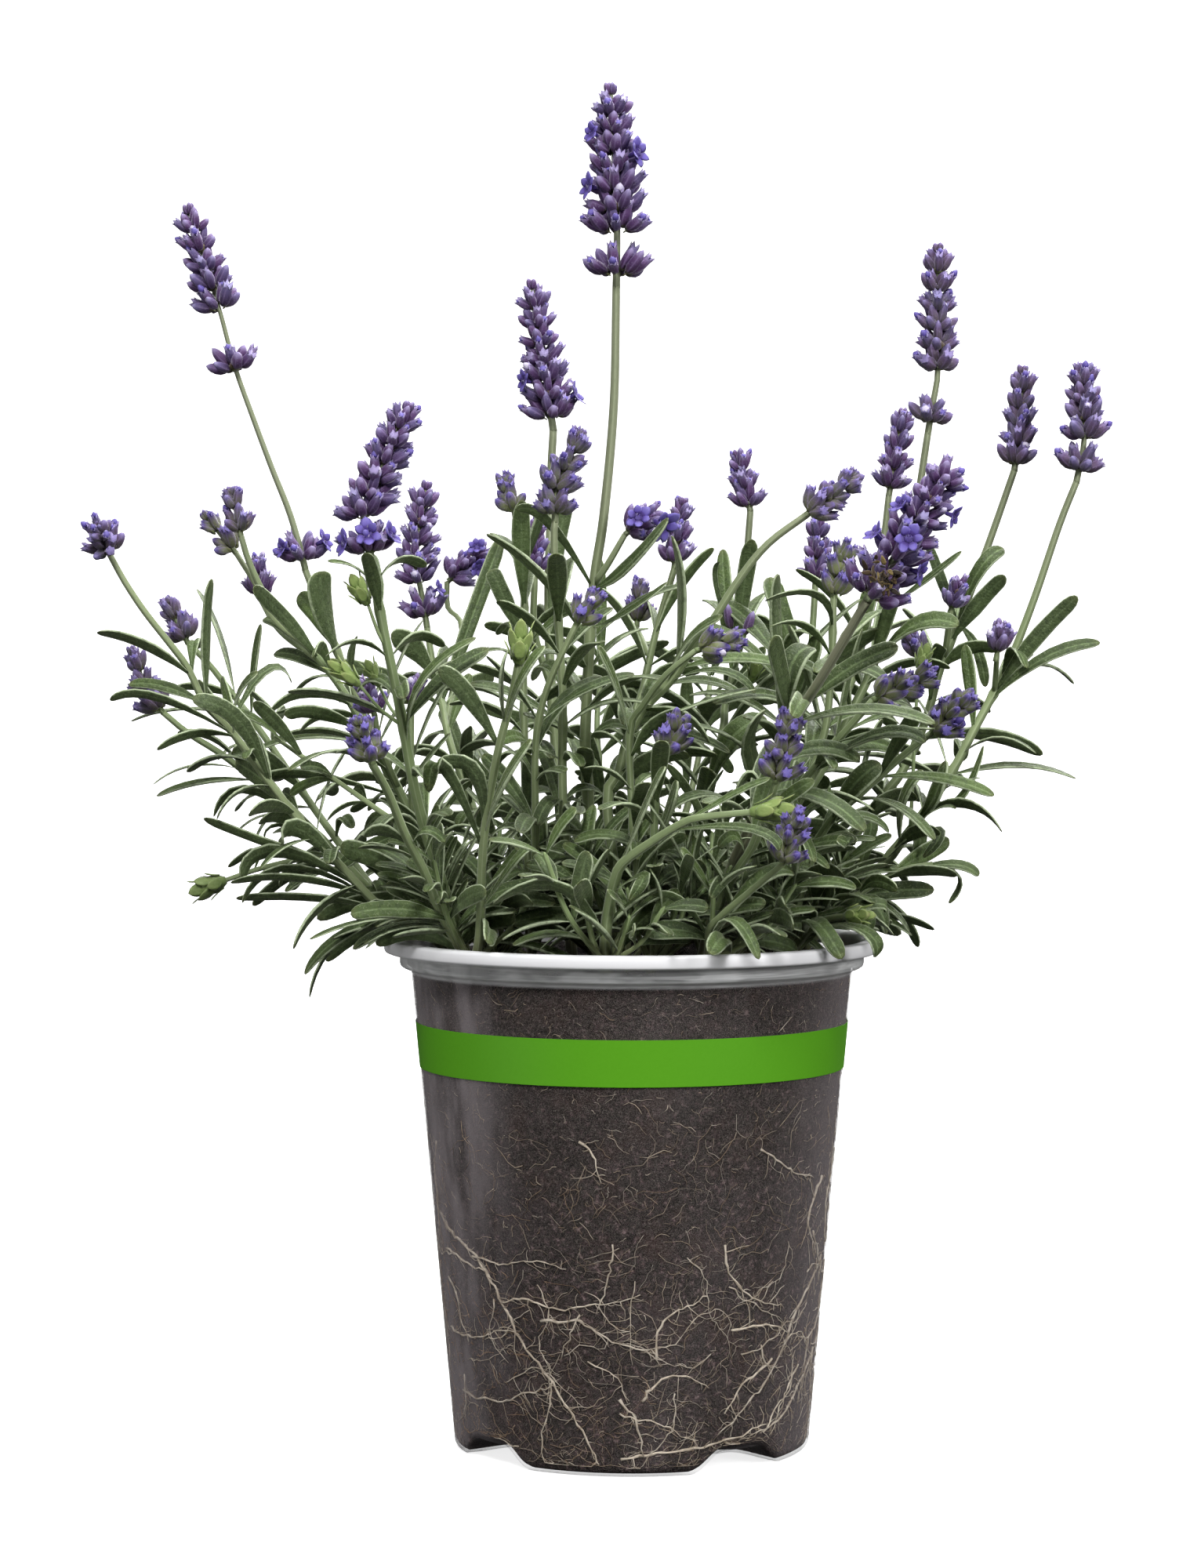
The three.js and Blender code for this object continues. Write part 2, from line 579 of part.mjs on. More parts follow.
function toGeometry(solid) {
  const mesh = mainBody(solid).getMesh();
  const geometry = new THREE.BufferGeometry();
  geometry.setAttribute('position', new THREE.BufferAttribute(new Float32Array(mesh.vertProperties), 3));
  geometry.setIndex(new THREE.BufferAttribute(new Uint32Array(mesh.triVerts), 1));
  geometry.computeVertexNormals();
  return geometry;
}

// The solid that closed triangles bound, whichever way round they were listed.
function closedSkin(places, faces) {
  let volume = 0;
  faces.forEach(([a, b, c]) => {
    volume += places[a].dot(new THREE.Vector3().crossVectors(places[b], places[c]));
  });
  const outward = volume > 0 ? faces : faces.map(([a, b, c]) => [a, c, b]);
  return new wasm.Manifold(new wasm.Mesh({
    numProp: 3,
    vertProperties: new Float32Array(places.flatMap((place) => place.toArray())),
    triVerts: new Uint32Array(outward.flat()),
  }));
}

// A closed skin over rings with the same number of corners, with a flat start and a flat or pointed end.
function skin(rings, point) {
  const corners = rings[0].length;
  const places = rings.flat();
  const faces = [];
  for (let i = 1; i + 1 < corners; i += 1) {
    faces.push([0, i + 1, i]);
  }
  for (let ring = 0; ring + 1 < rings.length; ring += 1) {
    for (let i = 0; i < corners; i += 1) {
      const a = ring * corners + i;
      const b = ring * corners + (i + 1) % corners;
      faces.push([a, b, b + corners], [a, b + corners, a + corners]);
    }
  }
  const last = (rings.length - 1) * corners;
  if (point) {
    places.push(point);
    for (let i = 0; i < corners; i += 1) {
      faces.push([last + i, last + (i + 1) % corners, places.length - 1]);
    }
  } else {
    for (let i = 1; i + 1 < corners; i += 1) {
      faces.push([last, last + i, last + i + 1]);
    }
  }
  return closedSkin(places, faces);
}

// Two directions square to a heading, the first as near to the X axis as it can be.
function sidesOf(heading) {
  const side = Math.abs(heading.x) > 0.97 ? new THREE.Vector3(0, 1, 0) : new THREE.Vector3(1, 0, 0);
  side.addScaledVector(heading, -side.dot(heading)).normalize();
  return [side, new THREE.Vector3().crossVectors(heading, side)];
}

// A square stem through its points, thinning towards its end.
function stemSolid(points, thick) {
  const rings = points.map((point, i) => {
    const before = points[Math.max(i - 1, 0)];
    const after = points[Math.min(i + 1, points.length - 1)];
    const [side, front] = sidesOf(after.clone().sub(before).normalize());
    const radius = thick[0] + (thick[1] - thick[0]) * (i / (points.length - 1));
    return [[1, 0], [0, 1], [-1, 0], [0, -1]].map(([a, b]) => point.clone()
      .addScaledVector(side, a * radius).addScaledVector(front, b * radius));
  });
  return skin(rings);
}

function lengthOf(points) {
  return points.slice(1).reduce((sum, point, i) => sum + point.distanceTo(points[i]), 0);
}

// The point at a distance along a line of points, and the heading there.
function along(points, distance) {
  let left = distance;
  for (let i = 0; i + 1 < points.length; i += 1) {
    const step = points[i + 1].distanceTo(points[i]);
    if (left <= step || i + 2 === points.length) {
      const heading = points[i + 1].clone().sub(points[i]).normalize();
      return { place: points[i].clone().addScaledVector(heading, left), heading };
    }
    left -= step;
  }
  return null;
}

// The distance along a stem at which it first comes to a height.
function reachHeight(points, height) {
  let gone = 0;
  for (let i = 0; i + 1 < points.length; i += 1) {
    const step = points[i + 1].distanceTo(points[i]);
    const low = Math.min(points[i].z, points[i + 1].z);
    const high = Math.max(points[i].z, points[i + 1].z);
    if (height >= low && height <= high) {
      return gone + step * Math.abs(height - points[i].z) / Math.max(high - low, 1e-6);
    }
    gone += step;
  }
  return gone;
}

// The blade's width at a share of its length, from its narrow root to its round end.
function bladeShare(t) {
  if (t < leafShape.widest) {
    return leafShape.rootShare + (1 - leafShape.rootShare) * Math.sin(Math.PI / 2 * t / leafShape.widest);
  }
  const past = (t - leafShape.widest) / (1 - leafShape.widest);
  return Math.sqrt(Math.max(1 - past * past, 0));
}

function bend(leaf, t) {
  const s = 1 - t;
  return leaf.start.clone().multiplyScalar(s * s)
    .addScaledVector(leaf.pull, 2 * s * t).addScaledVector(leaf.tip, t * t);
}

// A leaf blade with a keel under its middle, along a bent line from start to tip.
function leafSolid(leaf, stations) {
  const chord = leaf.tip.clone().sub(leaf.start).normalize();
  const side = leaf.side.clone().addScaledVector(chord, -leaf.side.dot(chord)).normalize()
    .applyAxisAngle(chord, THREE.MathUtils.degToRad(leaf.roll));
  const rings = stations.map((t) => {
    const place = bend(leaf, t);
    const heading = bend(leaf, t + 0.01).sub(bend(leaf, t - 0.01)).normalize();
    const across = side.clone().addScaledVector(heading, -side.dot(heading)).normalize();
    const under = new THREE.Vector3().crossVectors(heading, across);
    const keel = under.z > 0 ? -leafShape.keel : leafShape.keel;
    const half = leaf.wide * bladeShare(t) / 2;
    return [
      place.clone().addScaledVector(across, half),
      place.clone().addScaledVector(under, keel),
      place.clone().addScaledVector(across, -half),
    ];
  });
  return skin(rings, leaf.tip);
}

const taken = [];

function claim(points, radii, owner, rooted = 0) {
  points.forEach((point, i) => taken.push({ point, radius: radii[i], owner, root: i < rooted }));
}

function isClear(points, radii, owner, rooted) {
  return points.every((point, i) => {
    const radius = radii[i];
    const out = Math.hypot(point.x, point.y);
    const inPot = out < pot.collarRadius - clear.inRim - radius;
    if (inPot && point.z < soil.top + soil.mound + radius) {
      return false;
    }
    const overRim = !inPot && out < pot.rimRadius + clear.aroundRim + radius;
    if (overRim && point.z < pot.height + clear.overRim + radius) {
      return false;
    }
    return taken.every((ball) => {
      if (ball.owner === owner && (i < rooted || ball.root)) {
        return true;
      }
      const share = ball.owner === owner ? clear.ownShare : 1;
      return ball.point.distanceTo(point) > share * (ball.radius + radius);
    });
  });
}

function place(leaf, owner) {
  const points = clear.shares.map((t) => bend(leaf, t));
  const radii = clear.shares.map((t) => leaf.wide * bladeShare(t) / 2 + clear.leaf);
  if (!isClear(points, radii, owner, clear.rootedBalls)) {
    return false;
  }
  claim(points, radii, owner, clear.rootedBalls);
  return true;
}

// The places of a clump's stems, each side shoot starting on the stem that it leaves.
function stemLines(clump) {
  const lines = [];
  clump.stems.forEach((stem) => {
    if (stem.from) {
      const parent = lines[stem.from[0]];
      lines.push([along(parent, reachHeight(parent, stem.from[1])).place, ...stem.rise.map(seen)]);
    } else {
      const [x, y] = clump.foot;
      const inSoil = new THREE.Vector3(x, y, soil.top - soil.sunk);
      const atTop = new THREE.Vector3(x, y, soil.top + soil.bareStem);
      lines.push([inSoil, atTop, ...stem.rise.map(seen)]);
    }
  });
  return lines;
}

// The line of a flower spike, which starts just past the end of its stem.
function headLine(line, stem) {
  const end = line[line.length - 1];
  const points = [end, ...(stem.head ?? stem.bud).map(seen)];
  const before = end.clone().sub(line[line.length - 2]).normalize();
  const bentBy = before.angleTo(points[1].clone().sub(end));
  const gap = bract.gap + bract.bentGap * stem.thick[1] * Math.sin(Math.min(bentBy, Math.PI / 2));
  const start = along(points, stem.head ? gap : -bract.sunk).place;
  return [start, ...points.slice(1)];
}

// How far a spike's cups stand out at a distance along it.
function reachAt(stem, distance, whole) {
  const low = whole - stem.spike;
  if (distance > low - floret.spacing / 2) {
    return stem.reach * (1 - 0.5 * Math.min(Math.max((distance - low) / stem.spike, 0), 1));
  }
  const near = stem.lone.some((at) => Math.abs(at + floret.spacing / 2 - distance) < floret.spacing);
  return near ? stem.reach : stem.thick[1];
}

// A flower spike in one skin: a slim core whose whorls are rings of cups that stand out and lean
// towards the tip, less and less open on the way up.
function headSolid(line, stem) {
  const whole = lengthOf(line);
  const low = whole - stem.spike;
  const [fewest, most] = floret.corners;
  const corners = Math.min(Math.max(Math.round(stem.reach * floret.share), fewest), most);
  const thin = Math.max(stem.thick[1], floret.thinnest);
  const rows = Math.max(Math.round(stem.spike / floret.spacing), 2);
  const bands = [{ at: 0, radius: thin, spin: 0 }];
  const addWhorl = (at, height, open, spin) => {
    const filled = floret.coreShut + (1 - floret.coreShut) * open;
    const radius = Math.min(stem.reach * floret.coreShare * filled, stem.reach - floret.coreIn);
    bands.push({ at: at + floret.low * height, radius, spin, open, height });
    bands.push({ at: at + floret.high * height, radius: radius * floret.narrowing, spin });
  };
  stem.lone.forEach((at, i) => {
    bands.push({ at: Math.max(at - 1, 0.6), radius: thin, spin: 0 });
    addWhorl(at, floret.spacing, 1, 0.5 * (i % 2));
    bands.push({ at: at + floret.spacing, radius: thin, spin: 0 });
  });
  if (low > 1) {
    bands.push({ at: low - 0.5, radius: thin, spin: 0 });
  }
  for (let row = 0; row < rows; row += 1) {
    const height = stem.spike * floret.narrowing / rows;
    const open = 1 - (1 - floret.lastOpen) * row / (rows - 1);
    addWhorl(Math.max(low, 0.2) + row * height, height, open, 0.5 * (row % 2));
  }
  const draw = drawFrom(stem.seed + 500);
  const places = [];
  const faces = [];
  bands.forEach((band, index) => {
    const { place: middle, heading } = along(line, band.at);
    const [side, front] = sidesOf(heading);
    const outAt = (corner) => {
      const angle = (corner + band.spin) * Math.PI * 2 / corners;
      return side.clone().multiplyScalar(Math.cos(angle)).addScaledVector(front, Math.sin(angle));
    };
    for (let i = 0; i < corners; i += 1) {
      places.push(middle.clone().addScaledVector(outAt(i), band.radius));
    }
    if (index + 1 === bands.length) {
      return;
    }
    for (let i = 0; i < corners; i += 1) {
      const a = index * corners + i;
      const b = index * corners + (i + 1) % corners;
      if (band.open) {
        faces.push({ ring: [a, b, b + corners, a + corners], band, out: outAt(i + 0.5), middle, heading });
      } else {
        faces.push([a, b, b + corners], [a, b + corners, a + corners]);
      }
    }
  });
  const last = (bands.length - 1) * corners;
  places.push(along(line, whole).place);
  const tip = places.length - 1;
  for (let i = 0; i < corners; i += 1) {
    faces.push([last + i, last + (i + 1) % corners, tip]);
  }
  for (let i = 1; i + 1 < corners; i += 1) {
    faces.push([0, i + 1, i]);
  }
  const flat = faces.flatMap((face) => {
    if (!face.ring) {
      return [face];
    }
    const { ring, band, out, middle, heading } = face;
    const stands = floret.shut + (1 - floret.shut) * band.open;
    const varied = 1 + floret.varies * (draw() - 0.5);
    const reach = band.radius + (stem.reach - band.radius) * stands * varied;
    const lift = band.height * (floret.lift - floret.openLift * band.open) + floret.liftVaries * draw();
    places.push(middle.clone().addScaledVector(out, reach).addScaledVector(heading, lift));
    return ring.map((corner, i) => [corner, ring[(i + 1) % 4], places.length - 1]);
  });
  return closedSkin(places, flat);
}

// A leaf of a pair: it leaves the stem outwards and droops with its age.
function pairLeaf(stem, line, distance, turn, draw) {
  const { place: start, heading } = along(line, distance);
  const [one, two] = sidesOf(heading);
  const age = 1 - (start.z - stem.leafy[0]) / Math.max(stem.leafy[1] - stem.leafy[0], 1);
  const open = pairRule.open + pairRule.openWithAge * age + pairRule.openVaries * (draw() - 0.5);
  const length = stem.leaf[0] * (pairRule.shortest + pairRule.lengthVaries * draw());
  const wide = stem.leaf[1] * (pairRule.narrowest + pairRule.widthVaries * draw());
  const droop = pairRule.droop + pairRule.droopWithAge * age * draw() + pairRule.droopVaries * draw();
  const spin = turn + pairRule.spinVaries * (draw() - 0.5);
  const roll = pairRule.rollVaries * (draw() - 0.5);
  const out = one.clone().multiplyScalar(Math.cos(spin)).addScaledVector(two, Math.sin(spin));
  const first = out.clone().multiplyScalar(Math.sin(open)).addScaledVector(heading, Math.cos(open));
  const pull = start.clone().addScaledVector(first, length * 0.5);
  const then = first.clone().addScaledVector(up, -droop).normalize();
  const tip = pull.clone().addScaledVector(then, length * 0.5);
  start.addScaledVector(out, leafShape.rootOut);
  return { start, pull, tip, wide, roll, side: new THREE.Vector3().crossVectors(heading, out) };
}

const lines = clumps.map(stemLines);
clumps.forEach((clump, owner) => {
  clump.stems.forEach((stem, i) => {
    const line = lines[owner][i];
    const whole = lengthOf(line);
    for (let at = 0; at < whole; at += clear.step) {
      claim([along(line, at).place], [stem.thick[0] + clear.stem], owner);
    }
    if (stem.head || stem.bud) {
      const spike = headLine(line, stem);
      const far = lengthOf(spike);
      const spikeOwner = stem.head ? `${owner}.${i}` : owner;
      for (let at = 0; at < far + 1; at += clear.step) {
        claim([along(spike, at).place], [reachAt(stem, at, far) + clear.spike], spikeOwner);
      }
    }
  });
});

const leaves = clumps.map(() => []);
clumps.forEach((clump, owner) => {
  clump.leaves.forEach(([stem, height, middle, tip, wide, roll]) => {
    const line = lines[owner][stem];
    const start = along(line, reachHeight(line, height)).place;
    start.addScaledVector(seen(middle).sub(start).normalize(), leafShape.rootOut);
    handShifts.some((shift) => {
      const through = seen([middle[0], middle[1], middle[2] + shift * middleShift]);
      const end = seen([tip[0], tip[1], tip[2] + shift]);
      const pull = through.clone().multiplyScalar(2).addScaledVector(start.clone().add(end), -0.5);
      const flat = end.clone().sub(start).setZ(0);
      const side = new THREE.Vector3().crossVectors(up, flat);
      const leaf = { start, pull, tip: end, wide, roll, side, byHand: true };
      if (place(leaf, owner)) {
        leaves[owner].push(leaf);
        return true;
      }
      return false;
    });
  });
});

clumps.forEach((clump, owner) => {
  clump.stems.forEach((stem, i) => {
    if (!stem.leafy) {
      return;
    }
    const line = lines[owner][i];
    const draw = drawFrom(stem.seed);
    const low = reachHeight(line, stem.leafy[0]);
    const high = reachHeight(line, stem.leafy[1]);
    const pairs = Math.max(Math.round((high - low) / pairRule.step), 1);
    for (let pair = 0; pair <= pairs; pair += 1) {
      const distance = low + (high - low) * pair / pairs;
      for (let half = 0; half < 2; half += 1) {
        for (let attempt = 0; attempt < pairRule.tries; attempt += 1) {
          const turned = pairRule.tryTurn * attempt * (attempt % 2 ? 1 : -1);
          const turn = pair * Math.PI / 2 + half * Math.PI + turned;
          const leaf = pairLeaf(stem, line, distance, turn, draw);
          if (place(leaf, owner)) {
            leaves[owner].push(leaf);
            break;
          }
        }
      }
    }
  });
});

function clumpSolid(owner) {
  const clump = clumps[owner];
  const solids = clump.stems.map((stem, i) => stemSolid(lines[owner][i], stem.thick));
  clump.stems.forEach((stem, i) => {
    if (stem.bud) {
      solids.push(headSolid(headLine(lines[owner][i], stem), stem));
    }
  });
  leaves[owner].forEach((leaf) => {
    solids.push(leafSolid(leaf, leaf.byHand ? longStations : shortStations));
  });
  return wasm.Manifold.union(solids);
}

function lathe(profile, sides) {
  const points = profile.map(([r, z]) => new THREE.Vector2(r, z));
  return toSolid(new THREE.LatheGeometry(points, sides).rotateX(Math.PI / 2));
}

// The way out through a foot notch, widened all round by grow.
function notchSolid(index, grow) {
  const top = notch.height + grow;
  const low = notch.halfFoot + grow;
  const high = notch.halfTop + grow;
  const mid = (low + high) / 2;
  const outline = new THREE.Shape([
    [-low, -2], [-low, 0], [-mid - 1.2, top * 0.22], [-mid + 1.2, top * 0.78], [-high + 1.5, top],
    [high - 1.5, top], [mid - 1.2, top * 0.78], [mid + 1.2, top * 0.22], [low, 0], [low, -2],
  ].map(([x, y]) => new THREE.Vector2(x, y)));
  const bar = new THREE.ExtrudeGeometry(outline, { depth: pot.rimRadius, bevelEnabled: false });
  bar.rotateX(Math.PI / 2).translate(0, -notch.inner + grow, 0);
  return toSolid(bar.rotateZ(THREE.MathUtils.degToRad(notch.first + index * 360 / notch.count)));
}

const notches = Array.from({ length: notch.count }, (_, i) => i);
const slope = (pot.shoulderRadius - pot.footRadius) / (pot.shoulderHeight - pot.footRound);

function potSolid() {
  const inRim = pot.collarRadius - pot.wall;
  const outer = lathe([
    [0, 0], [pot.footRadius - pot.footRound, 0],
    [pot.footRadius - 0.5, 0.5], [pot.footRadius, pot.footRound],
    [pot.shoulderRadius, pot.shoulderHeight], [pot.collarRadius, pot.height - pot.rimThick - 0.4],
    [pot.rimRadius, pot.height - pot.rimThick], [pot.rimRadius, pot.height - 0.6],
    [pot.rimRadius - 0.6, pot.height], [0, pot.height],
  ], pot.sides);
  const inside = lathe([
    [0, pot.wall], [pot.footRadius - pot.wall - 1, pot.wall],
    [pot.footRadius - pot.wall, pot.footRound + 0.4],
    [pot.shoulderRadius - pot.wall, pot.shoulderHeight + 0.4],
    [inRim, pot.height - pot.rimThick - 0.2], [inRim, pot.height + 2], [0, pot.height + 2],
  ], pot.sides);
  const feet = outer.subtract(wasm.Manifold.union(notches.map((i) => notchSolid(i, 0))));
  const cavity = inside.subtract(wasm.Manifold.union(notches.map((i) => notchSolid(i, pot.wall))));
  const holes = notches.map((i) => {
    const angle = THREE.MathUtils.degToRad(notch.first + i * 360 / notch.count) - Math.PI / 2;
    const hole = new THREE.CylinderGeometry(drain.radius, drain.radius, 2 * notch.height, drain.sides);
    hole.rotateX(Math.PI / 2);
    return toSolid(hole.translate(drain.away * Math.cos(angle), drain.away * Math.sin(angle), notch.height));
  });
  return feet.subtract(cavity).subtract(wasm.Manifold.union(holes));
}

// The radius of the root ball's side at a height.
function ballRadius(z) {
  const wallIn = pot.footRadius - pot.wall + (z - pot.footRound) * slope;
  return wallIn - soil.inset;
}

function rootSolid(path) {
  const points = path.map(([turn, z]) => {
    const angle = THREE.MathUtils.degToRad(turn - 90);
    return { angle, z };
  });
  const at = ({ angle, z }, more) => new THREE.Vector3(
    (ballRadius(z) + more) * Math.cos(angle), (ballRadius(z) + more) * Math.sin(angle), z);
  const rings = points.map((point, i) => {
    const middle = at(point, 0);
    const before = at(points[Math.max(i - 1, 0)], 0);
    const after = at(points[Math.min(i + 1, points.length - 1)], 0);
    const outward = new THREE.Vector3(Math.cos(point.angle), Math.sin(point.angle), 0);
    const side = new THREE.Vector3().crossVectors(outward, after.sub(before).normalize()).normalize();
    const half = root.halfWide * (1 - 0.5 * i / points.length);
    return [
      middle.clone().addScaledVector(outward, -root.sunk).addScaledVector(side, half),
      at(point, root.proud),
      middle.clone().addScaledVector(outward, -root.sunk).addScaledVector(side, -half),
    ];
  });
  return skin(rings);
}

function ballSolid() {
  const floor = pot.wall + fitGap;
  const side = ballRadius(floor + 2);
  const body = lathe([
    [0, floor], [side - 1.6, floor], [side, floor + 2], [ballRadius(soil.top - 1), soil.top - 1],
    [ballRadius(soil.top) - 2, soil.top], [0, soil.top],
  ], soil.sides);
  const cuts = notches.map((i) => notchSolid(i, pot.wall + fitGap));
  const sockets = clumps.map((clump) => {
    const [x, y] = clump.foot;
    const reach = clump.stems[0].thick[0] + fitGap * Math.SQRT2;
    const socket = new THREE.CylinderGeometry(reach, reach, 2 * (soil.sunk + fitGap), 4);
    socket.rotateX(Math.PI / 2);
    return toSolid(socket.translate(x, y, soil.top));
  });
  const roots = wasm.Manifold.union(rootPaths.map(rootSolid));
  return body.add(roots).subtract(wasm.Manifold.union([...cuts, ...sockets]));
}

const finishes = {
  clearPlastic: { color: 0xd9dcda, roughness: 0.25, metalness: 0, transparent: true, opacity: 0.45 },
  soil: { color: 0x3b3130, roughness: 0.95, metalness: 0 },
  foliage: { color: 0x5c7046, roughness: 0.7, metalness: 0 },
  flower: { color: 0x57377c, roughness: 0.7, metalness: 0 },
};

const plant = new THREE.Group();

function addPiece(name, geometry, finish) {
  const mesh = new THREE.Mesh(geometry, new THREE.MeshStandardMaterial(finishes[finish]));
  mesh.name = name;
  plant.add(mesh);
}

addPiece('pot', toGeometry(potSolid()), 'clearPlastic');
addPiece('root_ball', toGeometry(ballSolid()), 'soil');
let headCount = 0;
clumps.forEach((clump, owner) => {
  addPiece(`stems_${clump.name}`, toGeometry(clumpSolid(owner)), 'foliage');
  clump.stems.forEach((stem, i) => {
    if (stem.head) {
      headCount += 1;
      const number = String(headCount).padStart(2, '0');
      const solid = headSolid(headLine(lines[owner][i], stem), stem);
      addPiece(`flower_spike_${number}`, toGeometry(solid), 'flower');
    }
  });
});

export default plant;
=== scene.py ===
import math
import bpy
import numpy as np
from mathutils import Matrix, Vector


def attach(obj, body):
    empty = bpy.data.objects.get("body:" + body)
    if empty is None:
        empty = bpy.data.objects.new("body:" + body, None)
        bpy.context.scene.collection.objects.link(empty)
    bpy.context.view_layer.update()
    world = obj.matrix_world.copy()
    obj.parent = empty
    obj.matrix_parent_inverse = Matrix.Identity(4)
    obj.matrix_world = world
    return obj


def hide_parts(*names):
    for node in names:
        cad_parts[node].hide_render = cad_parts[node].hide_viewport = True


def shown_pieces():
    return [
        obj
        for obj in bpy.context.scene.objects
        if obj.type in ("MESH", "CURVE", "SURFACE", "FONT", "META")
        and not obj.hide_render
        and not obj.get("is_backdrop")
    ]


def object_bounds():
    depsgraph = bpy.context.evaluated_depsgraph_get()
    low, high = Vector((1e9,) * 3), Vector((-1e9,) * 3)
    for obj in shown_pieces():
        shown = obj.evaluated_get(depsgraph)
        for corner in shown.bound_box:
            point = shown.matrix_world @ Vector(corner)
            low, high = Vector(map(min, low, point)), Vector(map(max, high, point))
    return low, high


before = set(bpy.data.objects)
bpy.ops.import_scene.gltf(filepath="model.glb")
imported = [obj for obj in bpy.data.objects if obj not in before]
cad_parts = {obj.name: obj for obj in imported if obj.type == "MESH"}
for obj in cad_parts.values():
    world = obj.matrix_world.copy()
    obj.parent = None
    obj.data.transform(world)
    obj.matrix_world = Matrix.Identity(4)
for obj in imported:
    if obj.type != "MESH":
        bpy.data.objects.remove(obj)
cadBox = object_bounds()
mm = 0.001

# the eye that every place below is given for: places lie on the plane of the pot's axis as it sees
# them, [across, height, depth behind that plane], in millimetres
eye = {"across": -8.5, "height": 187, "away": 950}
spread = {"start": 120, "over": 60, "more": 0.4}  # above the rim the plant opens front to back too
camera = {"lens": 94.5, "longSide": 36, "down": 2.05}


def show(name, data):
    shown = bpy.data.objects.new(name, data)
    bpy.context.scene.collection.objects.link(shown)
    return shown


def makeCamera():
    data = bpy.data.cameras.new("camera")
    data.sensor_fit = "VERTICAL"
    data.sensor_height = data.sensor_width = camera["longSide"]
    data.lens = camera["lens"]
    data.clip_start, data.clip_end = 0.01, 50
    shown = show("camera", data)
    shown.location = (eye["across"] * mm, -eye["away"] * mm, eye["height"] * mm)
    shown.rotation_euler = (math.radians(90 - camera["down"]), 0, 0)
    bpy.context.scene.camera = shown


# the growth: the same stems, leaves and spikes as in the solids
# rise: the stem's points after its foot, or after the place where it leaves another stem, off: which
# stem and how high. thick: its radius at both ends. leafy: heights of the lowest and highest pair.
# leaf: length, width. head: the spike's points, spike: its length, lone: whorls below it, reach: its
# half width. bud: the points of a bud that stays on the stem. leaves, placed one by one: stem, height,
# middle, tip, width, roll in degrees.
def stemOf(seed, rise, thick, leafy=(), leaf=(30, 4.5), lone=(), **more):
    return dict(seed=seed, rise=rise, thick=thick, leafy=leafy, leaf=leaf, lone=lone, **more)


def clumpOf(name, foot, stems, leaves=()):
    return {"name": name, "foot": foot, "stems": stems, "leaves": leaves}


